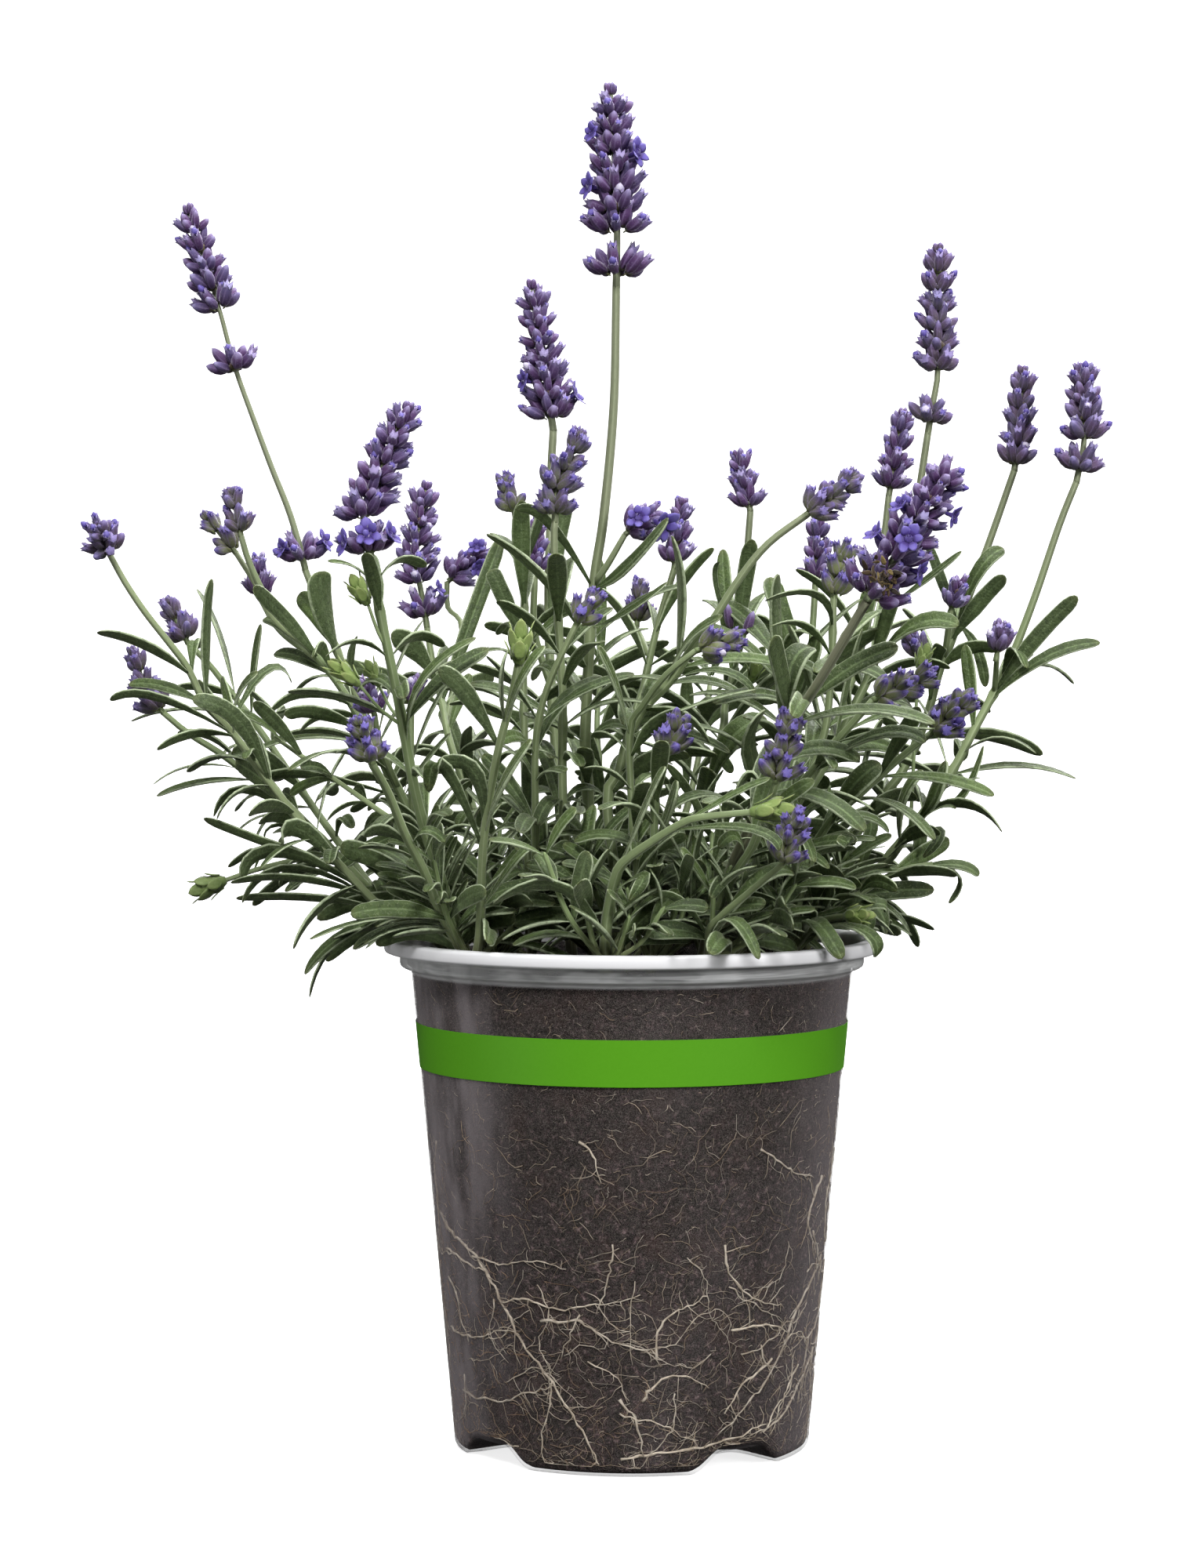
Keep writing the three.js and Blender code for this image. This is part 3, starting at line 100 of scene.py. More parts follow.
clumps = [
    clumpOf("centre_tall", [-9, 4], [
        stemOf(11, [[-10, 147.5, 2], [-10.7, 160, 1], [-10.5, 171, 0], [-8.9, 198, 0], [-6.5, 214.5, 0],
               [-4.2, 240, 0], [-3.6, 267.5, 0]], [1.5, 0.9], [119, 186], [32, 5], head=[[-3.4, 280, 0],
               [-4.9, 314.2, 0]], spike=34.5, reach=7.6, lone=[3.5]),
        stemOf(12, [[-5.6, 203.6, -2], [-1.6, 210.5, -3]], [0.9, 0.7], off=[0, 199],
               head=[[5.2, 216, -3]], spike=8.7, reach=4.4),
        stemOf(13, [[-14, 125, -4], [-15.9, 150, -9], [-15.9, 171, -10], [-16.3, 180, -10],
               [-17.9, 207.2, -10], [-17.7, 213.6, -10]], [1.2, 0.8], [122, 190], [28, 4.5],
               off=[0, 115], head=[[-17.7, 220.8, -10], [-11, 234.8, -10]], spike=15.5, reach=5,
               lone=[2.6]),
    ], [
        [0, 198, [-19.2, 213.6, -4], [-26.4, 216.8, -4], 3, 50],
        [0, 198, [-1.1, 203.6, -4], [7.6, 214.8, -7], 4, 60],
        [0, 189, [-0.2, 193.7, -5], [6.7, 200.9, -6], 3, 40],
    ]),
    clumpOf("left_back", [-29, 18], [
        stemOf(21, [[-44.5, 129.4, 14], [-50, 140, 12], [-55.4, 153, 11], [-68, 183.7, 10],
               [-75.3, 202.4, 10]], [1.3, 0.8], [119, 184], head=[[-76, 208, 10], [-83.4, 227, 10],
               [-91, 247.6, 10], [-94.7, 261.5, 10], [-102.4, 286.5, 10]], spike=26, reach=6.2,
               lone=[3, 50]),
        stemOf(22, [[-33, 135, 30], [-41.8, 162, 36], [-43.6, 171, 42], [-45.8, 180, 47],
               [-47.2, 189, 50]], [1.1, 0.8], [122, 170], off=[0, 116], head=[[-48.5, 197, 50],
               [-50, 204.2, 50], [-47.2, 223.2, 50]], spike=26, reach=5.8, lone=[3.5]),
        stemOf(23, [[-39.1, 188.2, 57], [-42.4, 193.7, 62], [-42.6, 199.6, 63]], [0.8, 0.7],
               off=[1, 166], head=[[-33.3, 207.6, 63]], spike=12.5, reach=4.8),
    ], [
        [0, 184, [-71.5, 194, 4], [-73.5, 201.8, 2], 6.5, 80],
        [1, 171, [-36.9, 191, 44], [-29.1, 210.3, 46], 4.4, 80],
    ]),
    clumpOf("left_front", [-37, -18], [
        stemOf(31, [[-40.4, 119.5, -20], [-43.6, 129.4, -24], [-49.6, 149.3, -27], [-53.6, 171, -28],
               [-58.1, 192.8, -28], [-59.9, 203.3, -28]], [1.4, 1], [122, 192], head=[[-62, 215.4, -28],
               [-50.9, 241.3, -28]], spike=28, reach=6.3, lone=[4]),
    ]),
    clumpOf("front_left", [-35, -27], [
        stemOf(41, [[-40, 115.5, -29], [-44.5, 124, -33], [-48.1, 133, -38], [-52.3, 141.2, -42],
               [-56.3, 151, -46], [-59.9, 157.5, -50]], [1.2, 0.9], head=[[-63.5, 168.9, -50]],
               spike=11.5, reach=4.6),
        stemOf(42, [[-35.2, 118, -33], [-34.6, 134.8, -38], [-33.7, 144.4, -40], [-31, 160.2, -43],
               [-28.2, 171, -44], [-26, 182, -45]], [1.1, 0.8], off=[0, 113], bud=[[-25.5, 190, -45]],
               spike=7.5, reach=2.6),
    ], [
        [0, 141, [-57.5, 142.5, -42], [-61.7, 140.8, -42], 3, 40],
        [0, 141, [-47.5, 142.5, -43], [-42.4, 140, -44], 3, 40],
        [1, 144, [-36.4, 156.2, -42], [-44.5, 157.5, -40], 3, 40],
        [1, 144, [-30, 152.9, -43], [-23.7, 163.8, -42], 3, 60],
        [1, 126, [-27.5, 135.5, -41], [-24.6, 140.3, -40], 3.6, 60],
    ]),
    clumpOf("front_centre", [-6, -42], [
        stemOf(51, [[-6, 118.6, -45], [-5, 125.8, -46], [-3.8, 131.2, -47], [-2, 134.8, -48],
               [4.3, 139.4, -50], [11.6, 143.9, -52], [16.1, 145.3, -53], [28.8, 146.6, -53]],
               [1.5, 0.9], bud=[[37, 147.5, -52.5]], spike=8.5, reach=2.6),
    ], [
        [0, 135, [3.4, 149.3, -50], [6.2, 157.5, -50], 4, 60],
        [0, 119.5, [-17, 129.5, -50], [-32.4, 125.4, -52], 3.4, 40],
        [0, 131, [2.6, 132, -52], [-0.6, 125.8, -56], 3.3, 40],
        [0, 145.5, [22.4, 150.5, -53], [30.6, 155.8, -54], 2.7, 40],
        [0, 145, [26, 143.5, -57], [35.1, 141, -60], 3, 40],
    ]),
    clumpOf("front_middle", [4, -33], [
        stemOf(61, [[4.3, 116.7, -35], [5, 136, -33], [5.8, 155.7, -32], [8, 159.6, -30]], [1.2, 0.8],
               [119, 150], [26, 4], head=[[11.6, 168.9, -30]], spike=9.6, reach=4.4),
        stemOf(62, [[1, 135, -28], [-0.5, 163.8, -22], [2.5, 171, -23], [8, 178.3, -25],
               [14.7, 183.7, -25]], [1, 0.7], [124, 165], [28, 4], off=[0, 118], head=[[26, 187, -25]],
               spike=11.5, reach=4),
    ], [
        [0, 140, [8.6, 147.5, -38], [10.1, 153.9, -39], 5.2, 80],
    ]),
    clumpOf("right_front_low", [17, -36], [
        stemOf(71, [[17.9, 118.6, -44], [20.6, 122.4, -48], [27.9, 128.6, -54], [34.8, 134.4, -60]],
               [1.1, 0.8], head=[[38.7, 147.2, -60]], spike=13.2, reach=4.5),
        stemOf(72, [[20, 124, -37], [24.3, 133, -39], [27.9, 138.5, -41], [30.6, 145.7, -44],
               [33.3, 153.3, -47]], [1.1, 0.8], [121, 142], [26, 4], off=[0, 114],
               head=[[36.9, 170.1, -47]], spike=17, reach=5),
    ], [
        [0, 119, [29, 131, -47], [38.7, 134, -45], 5, 50],
        [0, 120, [11.6, 125.9, -46], [4.7, 128.3, -47], 2.4, 40],
        [0, 119.5, [23.5, 121.8, -54], [29.5, 112.4, -62], 3.6, 10],
    ]),
    clumpOf("right_front", [20, -22], [
        stemOf(81, [[22.4, 131, -29], [27.9, 143.9, -32], [32.4, 154.8, -35], [36.9, 166.5, -38],
               [44.2, 178.3, -46], [54.1, 195, -55]], [1.4, 1.05], [121, 168], [32, 5],
               head=[[73.5, 225.7, -58]], spike=36, reach=7.6),
        stemOf(82, [[27.9, 134.8, -24], [35.1, 147.5, -27], [44.2, 159.3, -29], [50.5, 166.5, -30],
               [55.6, 172.3, -30]], [1.1, 0.8], [122, 164], off=[0, 114], head=[[69.9, 178.8, -30]],
               spike=15.4, reach=4.6),
    ], [
        [1, 166, [62.3, 170.4, -27], [69.5, 168.6, -27], 3, 40],
    ]),
    clumpOf("right_low", [35, -12], [
        stemOf(91, [[38, 124, -16], [44.2, 142, -20], [53.2, 151.1, -23], [62.3, 159.3, -25],
               [69.1, 164.7, -25]], [1.2, 0.8], [121, 156], head=[[78.6, 173.8, -25]], spike=12.8,
               reach=4.8),
        stemOf(92, [[46, 122.5, -14], [53.2, 128, -12], [62.3, 133, -11], [69.5, 134.5, -11]], [1, 0.6],
               [121, 132], [24, 4], off=[0, 116]),
        stemOf(93, [[41, 119, -22], [45, 121.8, -25], [50.5, 122.6, -29]], [1, 0.7], off=[0, 113.5],
               bud=[[55, 122.8, -31]], spike=4.6, reach=2.2),
    ], [
        [1, 134.3, [75, 134.5, -12], [80.8, 132.5, -13], 3.4, 40],
        [1, 134, [75.6, 132.5, -7], [75.3, 124.5, -5], 3, 30],
        [2, 122, [55.5, 125.5, -27], [60.5, 124.5, -27], 4, 40],
        [2, 119, [42.5, 121.6, -36], [49.2, 112.8, -43], 3, 10],
        [2, 121.5, [54, 119.5, -37], [59.6, 113, -40], 3.6, 10],
    ]),
    clumpOf("far_right", [38, 2], [
        stemOf(101, [[46, 122.2, 2], [56.8, 133, 4], [64.1, 142, 6], [69.5, 149.3, 8], [74.9, 157.5, 9],
               [78.6, 164.7, 10], [82.5, 172, 12], [86.7, 180, 13], [92.7, 195.5, 14],
               [98.5, 212.7, 15], [102.4, 222.6, 15]], [1.3, 0.8], [121, 174], head=[[104.3, 232, 15],
               [103.9, 250.1, 15]], spike=18, reach=5.4, lone=[3.5]),
        stemOf(102, [[84.3, 183.4, 6]], [0.7, 0.6], off=[0, 174], bud=[[85.4, 189.7, 5]], spike=6.3,
               reach=3),
    ], [
        [0, 172, [94.8, 182.3, 8], [107.5, 187.7, 6], 3.6, 60],
        [0, 149, [76, 150, 4], [81, 162, 4], 3, 50],
    ]),
    clumpOf("right_back", [34, 15], [
        stemOf(111, [[53.2, 143.9, 17], [62.3, 155.7, 19], [67.7, 167.4, 21], [71.3, 180, 22],
               [75.3, 190, 24], [81.8, 207.2, 25], [88.1, 225.3, 25]], [1.3, 0.8], [121, 186],
               head=[[89.1, 233.5, 25], [90, 249.6, 25]], spike=24, reach=4.6),
        stemOf(112, [[73.5, 193.1, 17]], [0.8, 0.7], off=[0, 182], bud=[[75.8, 200.4, 15]], spike=7.4,
               reach=3.2),
        stemOf(113, [[66.8, 182, 18]], [0.8, 0.7], off=[0, 176], bud=[[64, 188, 17]], spike=6.4,
               reach=3),
    ], [
        [0, 190, [71.3, 200, 18], [68, 208.5, 16], 2.8, 50],
        [0, 190, [79.5, 202, 19], [85.8, 209, 19], 4.4, 80],
        [0, 190, [79.5, 184.5, 21], [81.8, 175.5, 20], 2.8, 50],
    ]),
    clumpOf("right_tall", [16, -3], [
        stemOf(121, [[20.6, 125.8, -1], [33.3, 142, 2], [40.5, 151.1, 4], [46, 160.2, 6],
               [52.3, 172.9, 7], [55.4, 179.7, 8], [59.5, 194.6, 9], [65, 214.5, 10], [68.2, 234, 10]],
               [1.4, 0.8], [121, 180], [34, 5], head=[[69.6, 243, 10], [70.4, 246.7, 10],
               [70.4, 277.8, 10]], spike=30, reach=5.4, lone=[3.5]),
        stemOf(122, [[36.9, 145.7, -8], [44.2, 163.8, -7], [46, 180, -6], [46.5, 196, -5]], [1.1, 0.8],
               [128, 188], off=[0, 122], head=[[49.6, 208.7, -5]], spike=12.8, reach=4.2),
    ], [
        [0, 180, [65, 190, 2], [75.3, 191, -2], 4, 50],
        [0, 194, [68.7, 201, 4], [75.8, 206.9, 1], 3, 50],
        [1, 189, [42.3, 197, -12], [30.2, 196.4, -14], 2.8, 30],
    ]),
    clumpOf("back_right", [26, 26], [
        stemOf(131, [[40.5, 149.3, 34], [48.7, 171, 40], [54.1, 189, 45], [57.7, 207.2, 49],
               [59.2, 219.5, 50]], [1.2, 0.8], [120, 178], head=[[62.6, 239.8, 50]], spike=20.5,
               reach=4.8),
        stemOf(132, [[36, 155, 41], [40.5, 174.7, 46], [41.7, 189, 50], [42.3, 199, 52]], [1, 0.8],
               [128, 178], [28, 4.5], off=[0, 120], head=[[43.2, 215.4, 52]], spike=16.5, reach=4.6),
    ]),
    clumpOf("centre_front", [-1, -14], [
        stemOf(141, [[-5.6, 147.5, -10], [-2.9, 155.7, -9], [-1.1, 162.9, -8], [2.5, 170, -8],
               [8.9, 176.8, -8], [13.4, 183.7, -9], [18.8, 191, -10], [25.2, 200.9, -10],
               [31.5, 208.5, -10], [40.2, 215, -10]], [1.4, 0.8], [119, 180], [32, 5],
               head=[[52.9, 224.8, -10]], spike=15.8, reach=4.6),
    ], [
        [0, 177, [20.6, 179.6, -13], [29.7, 175, -15], 2.8, 30],
        [0, 165, [12, 165, -12], [23.3, 161, -13], 3.2, 40],
    ]),
    clumpOf("back_centre", [8, 16], [
        stemOf(151, [[20, 160.2, 24], [21.5, 171, 28], [23.3, 178.3, 31], [25.7, 196.4, 35],
               [27.3, 215.9, 35]], [1.2, 0.8], [120, 182], [32, 5], head=[[24.3, 230.2, 35]],
               spike=14.5, reach=4.2),
        stemOf(152, [[3, 145, 22], [0.7, 167.4, 28], [2.5, 174.7, 31], [5.8, 189, 34],
               [9.8, 202.7, 35]], [1.1, 0.8], [128, 180], off=[0, 122], head=[[10.1, 206.3, 35],
               [12.1, 219.4, 35]], spike=16.6, reach=4.2),
        stemOf(153, [[1.1, 189, 41]], [0.8, 0.7], off=[1, 182], head=[[2.1, 200.9, 43]], spike=11.6,
               reach=3.6),
    ]),
    clumpOf("back_left", [-14, 26], [
        stemOf(161, [[-18.3, 171, 34], [-19.2, 196.4, 43], [-18.6, 218, 49], [-18.6, 225.3, 50],
               [-18.1, 234.4, 50]], [1.4, 0.95], [120, 192], [32, 5], head=[[-23.2, 269.3, 50]],
               spike=35, reach=6.8),
        stemOf(162, [[-22.4, 188, 36], [-22.4, 200.9, 35]], [0.9, 0.8], off=[0, 174],
               head=[[-22.4, 214.2, 34]], spike=13, reach=4),
    ]),
    clumpOf("left_centre", [-23, -4], [
        stemOf(171, [[-24.5, 150, 3], [-25, 178.3, 8], [-24.6, 189, 9], [-25.3, 203.6, 11],
               [-27, 215.4, 11]], [1.2, 0.7], [120, 194], [28, 4.5], head=[[-30, 224.4, 11]], spike=9.2,
               reach=3.6),
        stemOf(172, [[-22.3, 140, -14], [-22.3, 160.2, -18], [-21, 170.1, -20], [-18.3, 178.3, -21],
               [-12.9, 189.7, -21]], [1, 0.7], [122, 168], [28, 4], off=[0, 114],
               head=[[-7.4, 197.3, -21]], spike=9.2, reach=3.6),
    ]),
    clumpOf("far_left_front", [-38, -8], [
        stemOf(181, [[-47, 117.8, -11], [-55.5, 122.6, -14], [-60.8, 127, -15], [-68, 134.8, -17],
               [-74.4, 142, -18], [-80.7, 149.3, -18], [-86.2, 156.6, -19], [-92.1, 164.7, -19],
               [-98.5, 171.6, -20], [-102.4, 179.7, -20], [-107, 185.9, -20], [-112.4, 192.8, -20],
               [-116.9, 199.6, -20], [-120.4, 206, -20]], [1.2, 0.7], [124, 172], [28, 4],
               head=[[-123.3, 213.4, -25]], spike=9, reach=4.8),
    ], [
        [0, 165, [-109.7, 173.3, -23], [-120.5, 173.2, -23], 3, 40],
        [0, 154, [-91, 168, -26], [-101.2, 172, -28], 4.4, 60],
        [0, 165, [-91.5, 173, -23], [-88.9, 180, -25], 4, 70],
        [0, 166, [-84.3, 179.7, -13], [-76.2, 178.3, -11], 3, 30],
        [0, 135, [-84, 139.5, -21], [-98.5, 146.2, -23], 3.2, 40],
        [0, 128, [-77, 131.5, -20], [-92.9, 132.1, -22], 3.2, 40],
        [0, 125, [-74, 126.8, -14], [-91.6, 126.7, -15], 3.2, 40],
    ]),
    clumpOf("far_left_back", [-39, 9], [
        stemOf(191, [[-48, 118.8, 8], [-56.5, 124.6, 7], [-69.9, 138.5, 5], [-82.5, 151.1, 5],
               [-88, 154.8, 5], [-95.2, 160.2, 5], [-102.4, 164.7, 5], [-108.2, 169.5, 5]], [1.2, 0.7],
               [124, 154], [28, 4], head=[[-111.9, 174.3, 5], [-115.7, 185, 5]], spike=16.8, reach=4.4),
        stemOf(192, [[-73.5, 147.5, 14], [-86, 165.6, 16], [-94.3, 176.5, 16], [-97.9, 181, 16],
               [-102.4, 185.5, 16]], [1, 0.7], [136, 168], [28, 4.5], off=[0, 126],
               head=[[-107.9, 196.4, 16]], spike=12, reach=4.4),
        stemOf(193, [[-84.3, 133.9, -1], [-95.2, 130.3, -3]], [0.8, 0.6], off=[0, 137],
               bud=[[-101.9, 128, -3]], spike=6.6, reach=2.6),
    ], [
        [2, 133, [-87, 137.5, 1], [-93.5, 134, 2], 3, 30],
    ]),
    clumpOf("left", [-31, -4], [
        stemOf(201, [[-47.2, 138.5, -6], [-55.4, 154.8, -4], [-63.5, 169.2, -1], [-68, 176.5, 0],
               [-75.3, 185.5, 0], [-83.4, 194.6, 0], [-88, 203.6, 0], [-90.1, 210.3, 0]], [1.3, 0.7],
               [119, 182], head=[[-92.5, 221.9, 0]], spike=11.6, reach=3.8),
        stemOf(202, [[-82.5, 191, 7], [-86.2, 198.2, 10], [-91.2, 206.2, 12]], [0.8, 0.7], off=[0, 184],
               head=[[-99.2, 215.9, 12]], spike=12.3, reach=4),
        stemOf(203, [[-81, 188, 14], [-85.5, 195.3, 22]], [0.8, 0.7], off=[0, 181],
               head=[[-86.5, 205.8, 23]], spike=10.4, reach=3.8),
        stemOf(204, [[-58.1, 162, -9], [-59.4, 168.9, -11]], [0.8, 0.7], off=[0, 152],
               head=[[-61.7, 176.5, -12]], spike=7.8, reach=3.6),
        stemOf(205, [[-51, 160, -10], [-50.9, 171.6, -9]], [0.8, 0.7], off=[0, 146],
               bud=[[-49, 176.8, -9]], spike=5.4, reach=2.8),
        stemOf(206, [[-50, 142, -12], [-55.4, 144.8, -14], [-64.4, 151.1, -14], [-73.5, 157.5, -13],
               [-82.5, 163.8, -12]], [1, 0.5], [143, 160], [22, 3.6], off=[0, 132]),
    ], [
        [0, 150, [-46, 172, -12], [-36.4, 187.7, -14], 3, 50],
    ]),
    clumpOf("broad_right", [27, 8], [
        stemOf(211, [[33, 135, 11], [36, 152.9, 13], [35, 171, 14], [34.5, 180, 14]], [1.2, 0.7],
               [120, 176], [34, 6]),
    ], [
        [0, 172, [33, 188, 9], [32, 201.5, 7], 6, 80], [0, 166, [40, 178, 9], [42.7, 187, 6], 6.4, 80],
        [0, 150, [27, 160, 2], [29.7, 171, 0], 7.2, 80],
    ]),
    clumpOf("back", [-4, 38], [
        stemOf(221, [[-6, 140, 44], [-8, 165, 52], [-7, 180, 57]], [1.2, 0.6], [119, 176]),
        stemOf(222, [[10, 140, 47], [16, 162, 55], [18, 176, 60]], [1.1, 0.6], [124, 172],
               off=[0, 116]),
        stemOf(223, [[-20, 132, 48], [-30, 146, 56], [-38, 156, 62]], [1.1, 0.6], [122, 152], [28, 4.5],
               off=[0, 115]),
    ]),
]

leafShape = {"rootShare": 0.2, "widest": 0.62, "rootOut": 0.4}
# how the pairs of leaves up a stem are drawn: longer and more drooping low down, where age is 1
pairRule = {
    "step": 27, "tries": 3, "tryTurn": 0.35, "open": 0.62, "openWithAge": 0.45, "openVaries": 0.25,
    "shortest": 0.72, "lengthVaries": 0.4, "narrowest": 0.8, "widthVaries": 0.35,
    "droop": 0.25, "droopWithAge": 0.75, "droopVaries": 0.25, "spinVaries": 0.5, "rollVaries": 70,
}
# the room in mm round stems, spikes, leaves and the rim, and the shares of it that are kept within
# one clump, except near a leaf's root, and towards the others
clear = {
    "step": 2.5, "stem": 0.35, "spike": 0.5, "leaf": 0.35, "inRim": 3, "aroundRim": 0.5,
    "overRim": 0.3, "own": 0.8, "other": 1, "rooted": 3, "most": 40000,
    "shares": np.array([0.16, 0.28, 0.4, 0.52, 0.64, 0.76, 0.88, 1]),
}
# where a spike starts past its stem: by how far for a bend, and how far a bud stands down on it
headSeat = {"gap": (0.3, 1.2), "budDown": 1.5}
# leaves placed one by one: steps to the front or back until one has room
handLeaves = {"shifts": [0, -4, 4, -8, 8, -12, 12, -16, 16], "middle": 0.6, "age": 0.4}
up = np.array([0.0, 0.0, 1.0])


def vec(x, y, z):
    return np.array([x, y, z], float)


def unit(v):
    return v / max(np.linalg.norm(v), 1e-9)


def units(rows):  # the same for each row
    return rows / np.linalg.norm(rows, axis=-1, keepdims=True)


def squareTo(v, heading):
    return unit(v - heading * np.dot(v, heading))


def turned(v, axis, angle):  # v turned about a unit axis
    c, s = math.cos(angle), math.sin(angle)
    return v * c + np.cross(axis, v) * s + axis * np.dot(axis, v) * (1 - c)


def valueAt(rule, x):  # a rule: the value at 0, and what each unit of x adds
    return rule[0] + rule[1] * x


def towardsOne(low, share):
    return low + (1 - low) * share


def spun(one, two, angle):  # turned from one direction towards the other
    return one * math.cos(angle) + two * math.sin(angle)


# what is added to a stem's seed or a clump's number for the draws of its spike, its leaves that fill,
# its shoots and its growth, and the seed of the roots
seeds = {"spike": 700, "fill": 1000, "shoots": 3000, "growth": 5000, "roots": 77}


def drawFrom(seed):  # a steady draw between 0 and 1
    state = seed * 7919 + 17

    def draw():
        nonlocal state
        state = state * 16807 % 2147483647
        return state / 2147483647
    return draw


def fromEye(across, height, depth):  # where a seen place is, that far behind the plane
    grow = (depth + eye["away"]) / eye["away"]
    return vec(eye["across"] + (across - eye["across"]) * grow, depth,
               eye["height"] + (height - eye["height"]) * grow)


def seen(place):
    across, height, depth = place
    rise = min(max((height - spread["start"]) / spread["over"], 0), 1)
    return fromEye(across, height, depth * (1 + spread["more"] * rise))


def sidesOf(heading):
    side = squareTo(vec(0, 1, 0) if abs(heading[0]) > 0.97 else vec(1, 0, 0), heading)
    return side, np.cross(heading, side)


def lengthOf(line):
    return sum(np.linalg.norm(b - a) for a, b in zip(line, line[1:]))


def along(line, distance):  # the point at a distance along a line, and the heading there
    left = distance
    for i in range(len(line) - 1):
        step = np.linalg.norm(line[i + 1] - line[i])
        if left <= step or i + 2 == len(line):
            heading = unit(line[i + 1] - line[i])
            return line[i] + heading * left, heading
        left -= step


def reachHeight(line, height):  # how far along a line this height is reached
    gone = 0
    for a, b in zip(line, line[1:]):
        step = np.linalg.norm(b - a)
        low, high = min(a[2], b[2]), max(a[2], b[2])
        if low <= height <= high:
            return gone + step * abs(height - a[2]) / max(high - low, 1e-6)
        gone += step
    return gone


def atHeight(line, height):
    return along(line, reachHeight(line, height))[0]


def bladeShare(t):
    t = np.asarray(t, float)
    widest = leafShape["widest"]
    near = towardsOne(leafShape["rootShare"], np.sin(np.pi / 2 * np.minimum(t / widest, 1)))
    past = np.clip((t - widest) / (1 - widest), 0, 1)
    return np.where(t < widest, near, np.sqrt(np.maximum(1 - past * past, 0)))


def bend(leaf, t):
    t = np.asarray(t, float)[..., None]
    s = 1 - t
    return leaf["start"] * s * s + leaf["pull"] * 2 * s * t + leaf["tip"] * t * t


# places that are taken. An owner is a clump's number x 100, with its spikes counted on from there
taken = {"places": np.zeros((clear["most"], 3)), "radii": np.zeros(clear["most"]),
         "owners": np.zeros(clear["most"], int), "roots": np.zeros(clear["most"], bool), "count": 0}


def claim(places, radii, owner, rooted=0):
    n, m = taken["count"], len(places)
    for name, values in (("places", places), ("radii", radii), ("owners", owner),
                         ("roots", np.arange(m) < rooted)):
        taken[name][n:n + m] = values
    taken["count"] = n + m


def isClear(places, radii, owner, rooted, shares):
    out = np.hypot(places[:, 0], places[:, 1])
    inPot = out < potForm["collarRadius"] - clear["inRim"] - radii
    if np.any(inPot & (places[:, 2] < soilForm["top"] + soilForm["mound"] + radii)):
        return False
    overRim = ~inPot & (out < potForm["rimRadius"] + clear["aroundRim"] + radii)
    if np.any(overRim & (places[:, 2] < potForm["height"] + clear["overRim"] + radii)):
        return False
    n = taken["count"]
    gap = np.linalg.norm(places[:, None] - taken["places"][None, :n], axis=2)
    own = taken["owners"][:n] == owner
    limit = np.where(own, shares["own"], shares["other"]) * (
        radii[:, None] + taken["radii"][None, :n])
    free = own & ((np.arange(len(places)) < rooted)[:, None] | taken["roots"][None, :n])
    return bool(np.all(free | (gap > limit)))


def settle(leaves, owner, tried, shares=clear):  # the first leaf that has room stays
    for leaf in tried:
        places = bend(leaf, clear["shares"])
        radii = leaf["wide"] * bladeShare(clear["shares"]) / 2 + clear["leaf"]
        if isClear(places, radii, owner * 100, clear["rooted"], shares):
            claim(places, radii, owner * 100, clear["rooted"])
            leaves[owner].append(leaf)
            return leaf


def stemLines(clump):
    lines = []
    for stem in clump["stems"]:
        if "off" in stem:
            start = [atHeight(lines[stem["off"][0]], stem["off"][1])]
        else:
            start = [vec(*clump["foot"], soilForm["top"] - soilForm["sunk"]),
                     vec(*clump["foot"], soilForm["top"] + soilForm["bareStem"])]
        lines.append(start + [seen(p) for p in stem["rise"]])
    return lines


def headLine(line, stem):  # the spike's line, which starts just past the end of its stem
    end = line[-1]
    places = [end] + [seen(p) for p in stem.get("head", stem.get("bud"))]
    before, after = unit(end - line[-2]), unit(places[1] - end)
    bentBy = math.acos(min(max(np.dot(before, after), -1), 1))
    gap = valueAt(headSeat["gap"], stem["thick"][1] * math.sin(min(bentBy, math.pi / 2)))
    start = along(places, gap if "head" in stem else -headSeat["budDown"])[0]
    return [start] + places[1:]


def reachAt(stem, distance, whole):
    low = whole - stem["spike"]
    if distance > low - whorl["spacing"] / 2:
        return stem["reach"] * (1 - 0.5 * min(max((distance - low) / stem["spike"], 0), 1))
    near = any(abs(at + whorl["spacing"] / 2 - distance) < whorl["spacing"] for at in stem["lone"])
    return stem["reach"] if near else stem["thick"][1]


def pairsOf(line, stem):  # how far up the stem the solids' own pairs of leaves are
    if not stem["leafy"]:
        return []
    low, high = (reachHeight(line, h) for h in stem["leafy"])
    pairs = max(math.floor((high - low) / pairRule["step"] + 0.5), 1)
    return [low + (high - low) * pair / pairs for pair in range(pairs + 1)]


def pairLeaf(stem, line, distance, turn, draw, size=1, sag=0):
    rule = pairRule
    start, heading = along(line, distance)
    low, high = stem["leafy"]
    age = 1 - (start[2] - low) / max(high - low, 1)
    opened = rule["open"] + rule["openWithAge"] * age + rule["openVaries"] * (draw() - 0.5)
    length = size * stem["leaf"][0] * (rule["shortest"] + rule["lengthVaries"] * draw())
    wide = math.sqrt(size) * stem["leaf"][1] * (rule["narrowest"] + rule["widthVaries"] * draw())
    droop = rule["droop"] + rule["droopWithAge"] * age * draw()
    droop += rule["droopVaries"] * draw() + sag
    out = spun(*sidesOf(heading), turn + rule["spinVaries"] * (draw() - 0.5))
    roll = rule["rollVaries"] * (draw() - 0.5)
    first = spun(heading, out, opened)
    pull = start + first * length * 0.5
    return {"start": start + out * leafShape["rootOut"], "pull": pull,
            "tip": pull + unit(first - up * droop) * length * 0.5, "wide": wide, "roll": roll,
            "side": np.cross(heading, out), "age": min(max(age, 0), 1)}


